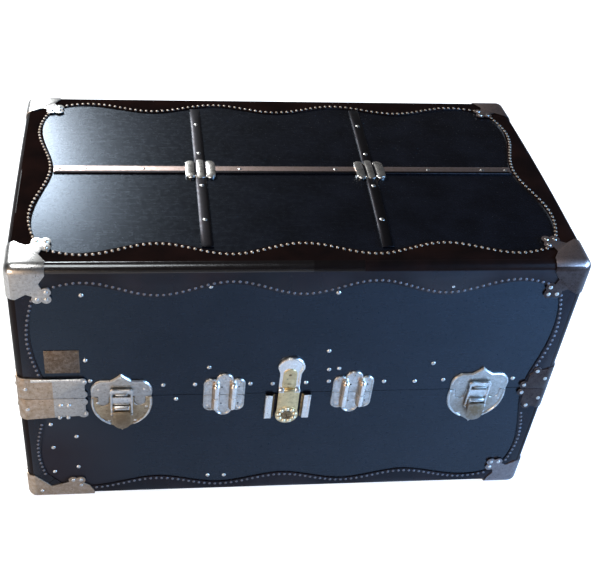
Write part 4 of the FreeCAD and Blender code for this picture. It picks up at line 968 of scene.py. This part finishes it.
class TRUNK_OT_corners(bpy.types.Operator):
    """Corner caps and seam clamps with their rivets"""
    bl_idname = "trunk.corners"
    bl_label = "Corner caps and clamps"

    def execute(self, context):
        for part, shape in (("corner_caps", None), ("seam_clamps", self.split_long_clamp)):
            for half in ("base", "lid"):
                paint(dressed(f"{half}_{part}", "bright_nickel", 0.6 * MM, shape=shape), self.tarnish_and_light)
        by_body("corner_rivets", fastener("corner_rivet"), corner_rivet_places(), "bright_nickel")
        self.repair_plate()
        return {"FINISHED"}

    def split_long_clamp(self, bm):
        """Cuts the clamps where the browned half of the front left one meets the repair plate."""
        cut(bm, (CASE_LOW.x + REPAIR_START, 0, 0), RIGHT)

    def tarnish_and_light(self, face):
        """Left pieces are brown below the top, apart from the greyer repair plate: partly a brown film,
        partly painted warm shade. Right ones are unplated steel: paler on the top, partly rubbing and partly
        painted light; greyed near the floor and rusted between."""
        x, y, z = face.center
        if x > 0:
            if face.normal.z > 0.5:
                return "rubbed_lit_steel"
            return "greyed_steel" if z < SEAM_Z - CLAMP_STOP * MM else "rusted_steel"
        if z < SEAM_Z + CLAMP_STOP * MM:
            repair = x - CASE_LOW.x > REPAIR_START and z > SEAM_Z - CLAMP_STOP * MM
            return "dulled_nickel" if repair and y < MIDDLE.y else "browned_shaded_nickel"
        return "dulled_nickel" if y < CASE_LOW.y else None

    def repair_plate(self):
        """Two bright pins on the repair plate, and a raised bead along its top."""
        face = CASE_LOW.y - 1.9 * MM
        scattered("clamp_pins", fastener("repair_pin"),
                  seam_places(CASE_LOW.x, face, REPAIR_PINS), "base", "bright_nickel")
        ridge = [spot for spot, _ in seam_places(CASE_LOW.x, face, REPAIR_BEAD)]
        beads("clamp_bead", [ridge], 2.6 * MM, "lid")


class TRUNK_OT_top_strips(bpy.types.Operator):
    """Centre strip, cross straps and crossing clamps on the lid"""
    bl_idname = "trunk.top_strips"
    bl_label = "Top strips"

    def execute(self, context):
        def half_round(bm):
            crown(bm, rim=4.5 * MM, rise=0.9 * MM)
        strip = dressed("centre_strip", "strip_steel", 0.6 * MM, shape=half_round)
        # faces of the centre strip that lean to the front are dark steel: painted shade on its near slope
        paint(strip, lambda face: "blued_steel" if face.normal.y < -0.12 else "strip_steel")
        dressed("cross_straps", "blued_steel", 0.6 * MM, shape=half_round)
        low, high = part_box("crossing_clamps")
        half_clamp = 25 * MM
        crossings = (low.x + half_clamp, high.x - half_clamp)
        self.clamps(crossings)
        places = [on_top(x * MM, MIDDLE.y, STRIP_OUT) for x in STRIP_RIVETS]
        for x, lean in zip(crossings, STRAP_LEANS):
            places += [on_top(x + lean * across * MM, MIDDLE.y + across * MM, STRAP_OUT)
                       for across in STRAP_RIVETS]
        scattered("strip_rivets", fastener("strip_rivet"), places, "lid", "nail_nickel")
        places = [on_top(middle + column * MM, MIDDLE.y + across * MM, CLAMP_OUT)
                  for middle in crossings for column, across in CROSSING_LOBES]
        scattered("crossing_rivets", fastener("crossing_rivet"), places, "lid", "polished_nickel")
        return {"FINISHED"}

    def clamps(self, crossings):
        """Clamps in three columns with grooves between them, painted dark as shade, stepped down at their
        ends.
        """
        def across(x):
            return min(abs(x - middle) for middle in crossings)

        def groove(bm):
            for middle in crossings:
                for offset in GROOVE_CUTS:
                    cut(bm, (middle + offset * MM, 0, 0), RIGHT)
            for offset in END_CUTS:
                cut(bm, (0, MIDDLE.y + offset * MM, 0), BACK)
            high = [vert for vert in bm.verts if vert.co.z > crown_z(vert.co.y) + 1.4 * MM]
            sunk = [vert for vert in high if GROOVE_SUNK[0] < across(vert.co.x) < GROOVE_SUNK[1]]
            ends = [vert for vert in high if abs(vert.co.y - MIDDLE.y) > 11 * MM]
            bmesh.ops.translate(bm, vec=DOWN * 0.5 * MM, verts=sunk)
            bmesh.ops.translate(bm, vec=DOWN * 0.3 * MM, verts=ends)

        # the grooves' upward faces are dark steel: painted shade
        def shaded_grooves(face):
            grooved = GROOVE_SHADE[0] < across(face.center.x) < GROOVE_SHADE[1]
            return "blued_steel" if grooved and face.normal.z > 0.3 else None
        paint(dressed("crossing_clamps", "polished_nickel", 0.5 * MM, shape=groove), shaded_grooves)


class TRUNK_OT_draw_bolts(bpy.types.Operator):
    """Shield-shaped draw bolts"""
    bl_idname = "trunk.draw_bolts"
    bl_label = "Draw bolts"

    def execute(self, context):
        inset, radius = SHIELD_BEAD
        # the left bolt's plate and lever are gilded nickel, browner than the right's: partly a film, partly
        # painted shade
        for side, finish in (("left", "gilded_shaded_nickel"), ("right", "dulled_nickel")):
            bolt = side + "_drawbolt_"
            low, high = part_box(bolt + "lever")
            middle = (low.x + high.x) / 2
            two_tone(bolt + "catch", "bright_nickel", "dulled_nickel", 0.9 * MM)
            two_tone(bolt + "plate", "bright_nickel", finish, 0.9 * MM)
            for part, body, wanted in (("catch", "lid", self.on_crest), ("plate", "base", self.on_shield)):
                beads(f"{side}_{part}_bead", rim_paths(bolt + part, middle, inset, wanted), radius, body)
            dressed(bolt + "lever", finish, 0.7 * MM)
            tip = Vector((middle, low.y + 2.7 * MM, low.z + 7 * MM))
            scattered(side + "_lever_boss", fastener("lever_boss"), [(tip, FRONT)],
                      body_of_node(bolt + "lever"), "bright_nickel")
            for part in ("link", "pin", "link_studs"):
                dressed(bolt + part, "bright_nickel", 0.5 * MM)
            by_body(side + "_shield_rivets", fastener("shield_rivet"),
                    seam_places(middle, PANEL_LOW.y - 1.1 * MM, SHIELD_RIVETS), "bright_nickel")
        return {"FINISHED"}

    def on_crest(self, across, rise):
        """Whether the bead of the upper shield goes there."""
        return rise > 3 * MM

    def on_shield(self, across, rise):
        """Whether the bead of the lower shield goes there: beside the seam's tongues and below."""
        return across > 46 * MM or (rise < -22 * MM and across > 19 * MM)


class TRUNK_OT_dowel_plates(bpy.types.Operator):
    """Lobed plates whose dowels guide the lid"""
    bl_idname = "trunk.dowel_plates"
    bl_label = "Dowel plates"

    def execute(self, context):
        def browned(face):
            # the barrels' left-facing flanks get browned nickel: painted shade
            left_flank = face.normal.x < -0.35 and face.center.y < PANEL_LOW.y - 3 * MM
            return "browned_shaded_nickel" if left_flank else None

        def on_lobes(across, rise):
            return abs(rise) > 31 * MM or across > 24 * MM
        for half in ("base", "lid"):
            paint(two_tone(half + "_dowel_plates", "polished_nickel", "bright_nickel", 0.7 * MM), browned)
        dressed("guide_dowels", "dull_steel", 0.4 * MM)
        low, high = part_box("lid_dowel_plates")
        half_width, face = 35 * MM, PANEL_LOW.y - 1.2 * MM
        inset, radius = LOBE_BEAD
        rivets, screws = [], []
        for side, centre in (("left", low.x + half_width), ("right", high.x - half_width)):
            for half in ("lid", "base"):
                beads(f"{half}_{side}_lobe_bead",
                      rim_paths(half + "_dowel_plates", centre, inset, on_lobes), radius, half)
            rivets += seam_places(centre, face, PLATE_RIVETS)
            screws += seam_places(centre, face, PLATE_SCREWS)
        by_body("dowel_plate_rivets", fastener("lobe_rivet"), rivets, "bright_nickel")
        # the screw heads are dark steel, which paints the shade of their holes
        by_body("dowel_plate_screws", fastener("lobe_screw"), screws, "blued_steel")
        return {"FINISHED"}


class TRUNK_OT_lock(bpy.types.Operator):
    """Hasp, winged plate and lock"""
    bl_idname = "trunk.lock"
    bl_label = "Hasp lock"

    def execute(self, context):
        centre = centre_of("lock_cylinder")
        flat, fold = 23 * MM, 26.5 * MM

        def winged(face):
            # the plate's middle is dark steel and the inner band of each wing brown brass: painted shade
            # beside the hasp's neck
            across = abs(face.center.x - centre.x)
            if across < flat:
                return "blued_steel"
            return "browned_brass" if across < fold else "polished_nickel"
        paint(dressed("lock_plate", "polished_nickel", 0.6 * MM), winged)
        self.wing_beads()
        for node in ("hasp", "hasp_pin"):
            dressed(node, "pale_brass", 0.5 * MM)
        # the collar and the cylinder are browned brass, darker than the hasp: partly a film, partly painted
        # shade in the ring
        for node in ("lock_collar", "lock_cylinder"):
            dressed(node, "browned_brass", 0.4 * MM)
        dressed("hasp_plate", "polished_nickel", 0.7 * MM)
        self.ring_bosses(centre)
        self.head_rim()
        self.head_tongue()
        return {"FINISHED"}

    def wing_beads(self):
        """Rolled edges of the two wings."""
        low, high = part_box("lock_plate")
        for side, x in (("left", low.x + 2.2 * MM), ("right", high.x - 2.2 * MM)):
            line = [Vector((x, low.y, z)) for z in (low.z + 2 * MM, high.z - 2 * MM)]
            beads(side + "_wing_bead", [line], 2.0 * MM, "base", "polished_nickel")

    def ring_bosses(self, centre):
        """Bosses round the hasp's ring."""
        face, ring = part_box("hasp")[0].y, 14.4 * MM
        places = []
        for index in range(RING_BOSSES):
            turn = math.tau * (index + 0.3) / RING_BOSSES
            offset = Vector((math.cos(turn), 0, math.sin(turn))) * ring
            places.append((Vector((centre.x, face, centre.z)) + offset, FRONT))
        scattered("hasp_bosses", fastener("hasp_boss"), places, "hasp", "bright_brass")

    def head_rim(self):
        """Rolled rim round the head of the hasp plate."""
        low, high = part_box("hasp_plate")
        x, face, bead = (low.x + high.x) / 2, PANEL_LOW.y - 2.6 * MM, 2.4 * MM
        radius = (high.x - low.x) / 2 - bead
        middle = high.z - (high.x - low.x) / 2
        points = [Vector((x - math.cos(turn) * radius, face, middle + math.sin(turn) * radius))
                  for turn in [math.pi * step / 24 for step in range(25)]]
        points += [Vector((x + 15.8 * MM, face, middle - drop * MM)) for drop in (14, 38)]
        beads("hasp_head_rim", [points], bead, "lid", "polished_nickel")

    def head_tongue(self):
        """Round-ended brass tongue laid over the head, with its rivet and its slot."""
        low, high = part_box("hasp_plate")
        x, face = (low.x + high.x) / 2 - 1 * MM, PANEL_LOW.y - 1.5 * MM
        radius, straight, thickness = 12 * MM, 26 * MM, 2.4 * MM
        bm = bmesh.new()
        bmesh.ops.create_circle(bm, cap_ends=True, segments=32, radius=radius,
                                matrix=Matrix.Rotation(math.radians(90), 4, "X"))
        upper = [vert for vert in bm.verts if vert.co.z > 1e-6]
        bmesh.ops.translate(bm, vec=UP * straight, verts=upper)
        grown = bmesh.ops.extrude_face_region(bm, geom=bm.faces[:])["geom"]
        bmesh.ops.translate(bm, vec=FRONT * thickness, verts=only(grown, bmesh.types.BMVert))
        bmesh.ops.recalc_face_normals(bm, faces=bm.faces)
        bmesh.ops.translate(bm, vec=(x, face, high.z - 64 * MM), verts=bm.verts)
        soften(bm, 0.9 * MM, segments=3)
        piece("hasp_tongue", to_mesh(bm, "hasp_tongue"), "lid", "pale_brass")
        slot = fastener("tongue_slot")
        slot.transform(Matrix.Diagonal((3.4, 1, 1, 1)))
        for part, head, drop in (("rivet", fastener("tongue_rivet"), 39), ("slot", slot, 60)):
            spot = Vector((x, face - 2.3 * MM, high.z - drop * MM))
            scattered("hasp_tongue_" + part, head, [(spot, FRONT)], "lid", "browned_brass")


class TRUNK_OT_blank_plate(bpy.types.Operator):
    """Bare plate at the left of the front"""
    bl_idname = "trunk.blank_plate"
    bl_label = "Blank plate"

    def execute(self, context):
        dressed("blank_plate", "tarnished_brass", 0.3 * MM)
        low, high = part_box("blank_plate")
        inset = 4 * MM
        places = [(Vector((x, low.y, z)), FRONT)
                  for x in (low.x + inset, high.x - inset) for z in (low.z + inset, high.z - inset)]
        scattered("blank_plate_pins", fastener("blank_pin"), places, "lid", "browned_brass")
        return {"FINISHED"}


class TRUNK_OT_hinges(bpy.types.Operator):
    """Hinges on the back"""
    bl_idname = "trunk.hinges"
    bl_label = "Hinges"

    def execute(self, context):
        for node in ("base_hinge_leaves", "lid_hinge_leaves", "hinge_pins"):
            dressed(node, "dull_steel", 0.4 * MM)
        low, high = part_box("lid_hinge_leaves")
        half_leaf = 30 * MM
        places = []
        for centre in (low.x + half_leaf, 0.0, high.x - half_leaf):
            places += seam_places(centre, PANEL_HIGH.y + 2.0 * MM, HINGE_RIVETS, BACK)
        by_body("hinge_rivets", fastener("flat_rivet"), places, "nail_nickel")
        return {"FINISHED"}


class TRUNK_OT_handles(bpy.types.Operator):
    """Leather handles and their brackets"""
    bl_idname = "trunk.handles"
    bl_label = "Handles"

    def execute(self, context):
        for side, outward in (("left", LEFT), ("right", RIGHT)):
            dressed(side + "_handle", "saddle_leather", 2.2 * MM, segments=4)
            dressed(side + "_handle_brackets", "dull_steel", 0.4 * MM)
            self.bracket_rivets(side, outward)
            self.stitches(side, outward)
        return {"FINISHED"}

    def bracket_rivets(self, side, outward):
        low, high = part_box(side + "_handle_brackets")
        face = outward.x * (PANEL_HIGH.x + 2.0 * MM)
        centre_z = (low.z + high.z) / 2
        outer, inner = 5 * MM, 34.5 * MM
        places = [(Vector((face, y, centre_z + rise * MM)), outward)
                  for y in (low.y + outer, low.y + inner, high.y - inner, high.y - outer)
                  for rise in (-12, 12)]
        scattered(side + "_bracket_rivets", fastener("flat_rivet"), places, "base", "nail_nickel")

    def stitches(self, side, outward):
        """Two rows of stitches along the outer face of the grip."""
        low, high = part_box(side + "_handle")
        face = (high.x if outward.x > 0 else low.x) - outward.x * 2.6 * MM
        radius, pitch = 0.9 * MM, 8 * MM
        stitch = dome(radius, 0.7 * MM, 8, 2)
        stitch.transform(Matrix.Diagonal((1, sizes().stitch_length / (2 * radius), 1, 1)))
        places = [(Vector((face, MIDDLE.y + index * pitch, z)), outward)
                  for z in (low.z + 6.5 * MM, low.z + 19.5 * MM) for index in range(-8, 9)]
        scattered(side + "_handle_stitches", stitch, places, side + "_handle", "waxed_thread")


class TRUNK_OT_stays(bpy.types.Operator):
    """Slotted lid stays"""
    bl_idname = "trunk.stays"
    bl_label = "Lid stays"

    def execute(self, context):
        for side in ("left", "right"):
            for part in ("stay_arm", "stay_stud", "stay_pivot"):
                dressed(f"{side}_{part}", "dull_steel", 0.3 * MM)
        return {"FINISHED"}


PIECES = (TRUNK_OT_stage, TRUNK_OT_case, TRUNK_OT_nails, TRUNK_OT_rivets, TRUNK_OT_corners,
          TRUNK_OT_top_strips, TRUNK_OT_draw_bolts, TRUNK_OT_dowel_plates, TRUNK_OT_lock,
          TRUNK_OT_blank_plate, TRUNK_OT_hinges, TRUNK_OT_handles, TRUNK_OT_stays)


class TRUNK_PT_panel(bpy.types.Panel):
    """Lists the trunk's pieces, sizes and colours"""
    bl_idname = "TRUNK_PT_panel"
    bl_label = "Travel trunk"
    bl_space_type = "VIEW_3D"
    bl_region_type = "UI"
    bl_category = "Trunk"

    def draw(self, context):
        for maker in PIECES:
            self.layout.operator(maker.bl_idname)
        for group in (context.scene.trunk_sizes, context.scene.trunk_colours):
            for name in group.__annotations__:
                self.layout.prop(group, name)


CLASSES = (TrunkSizes, TrunkColours, *PIECES, TRUNK_PT_panel)


def register():
    for item in CLASSES:
        bpy.utils.register_class(item)
    bpy.types.Scene.trunk_sizes = bpy.props.PointerProperty(type=TrunkSizes)
    bpy.types.Scene.trunk_colours = bpy.props.PointerProperty(type=TrunkColours)


def unregister():
    del bpy.types.Scene.trunk_colours
    del bpy.types.Scene.trunk_sizes
    for item in reversed(CLASSES):
        bpy.utils.unregister_class(item)


def main():
    register()
    for maker in PIECES:
        group, name = maker.bl_idname.split(".")
        getattr(getattr(bpy.ops, group), name)()
    bounds = [[list(corner) for corner in pair] for pair in (CAD_BOUNDS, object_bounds())]


if __name__ == "__main__":
    main()
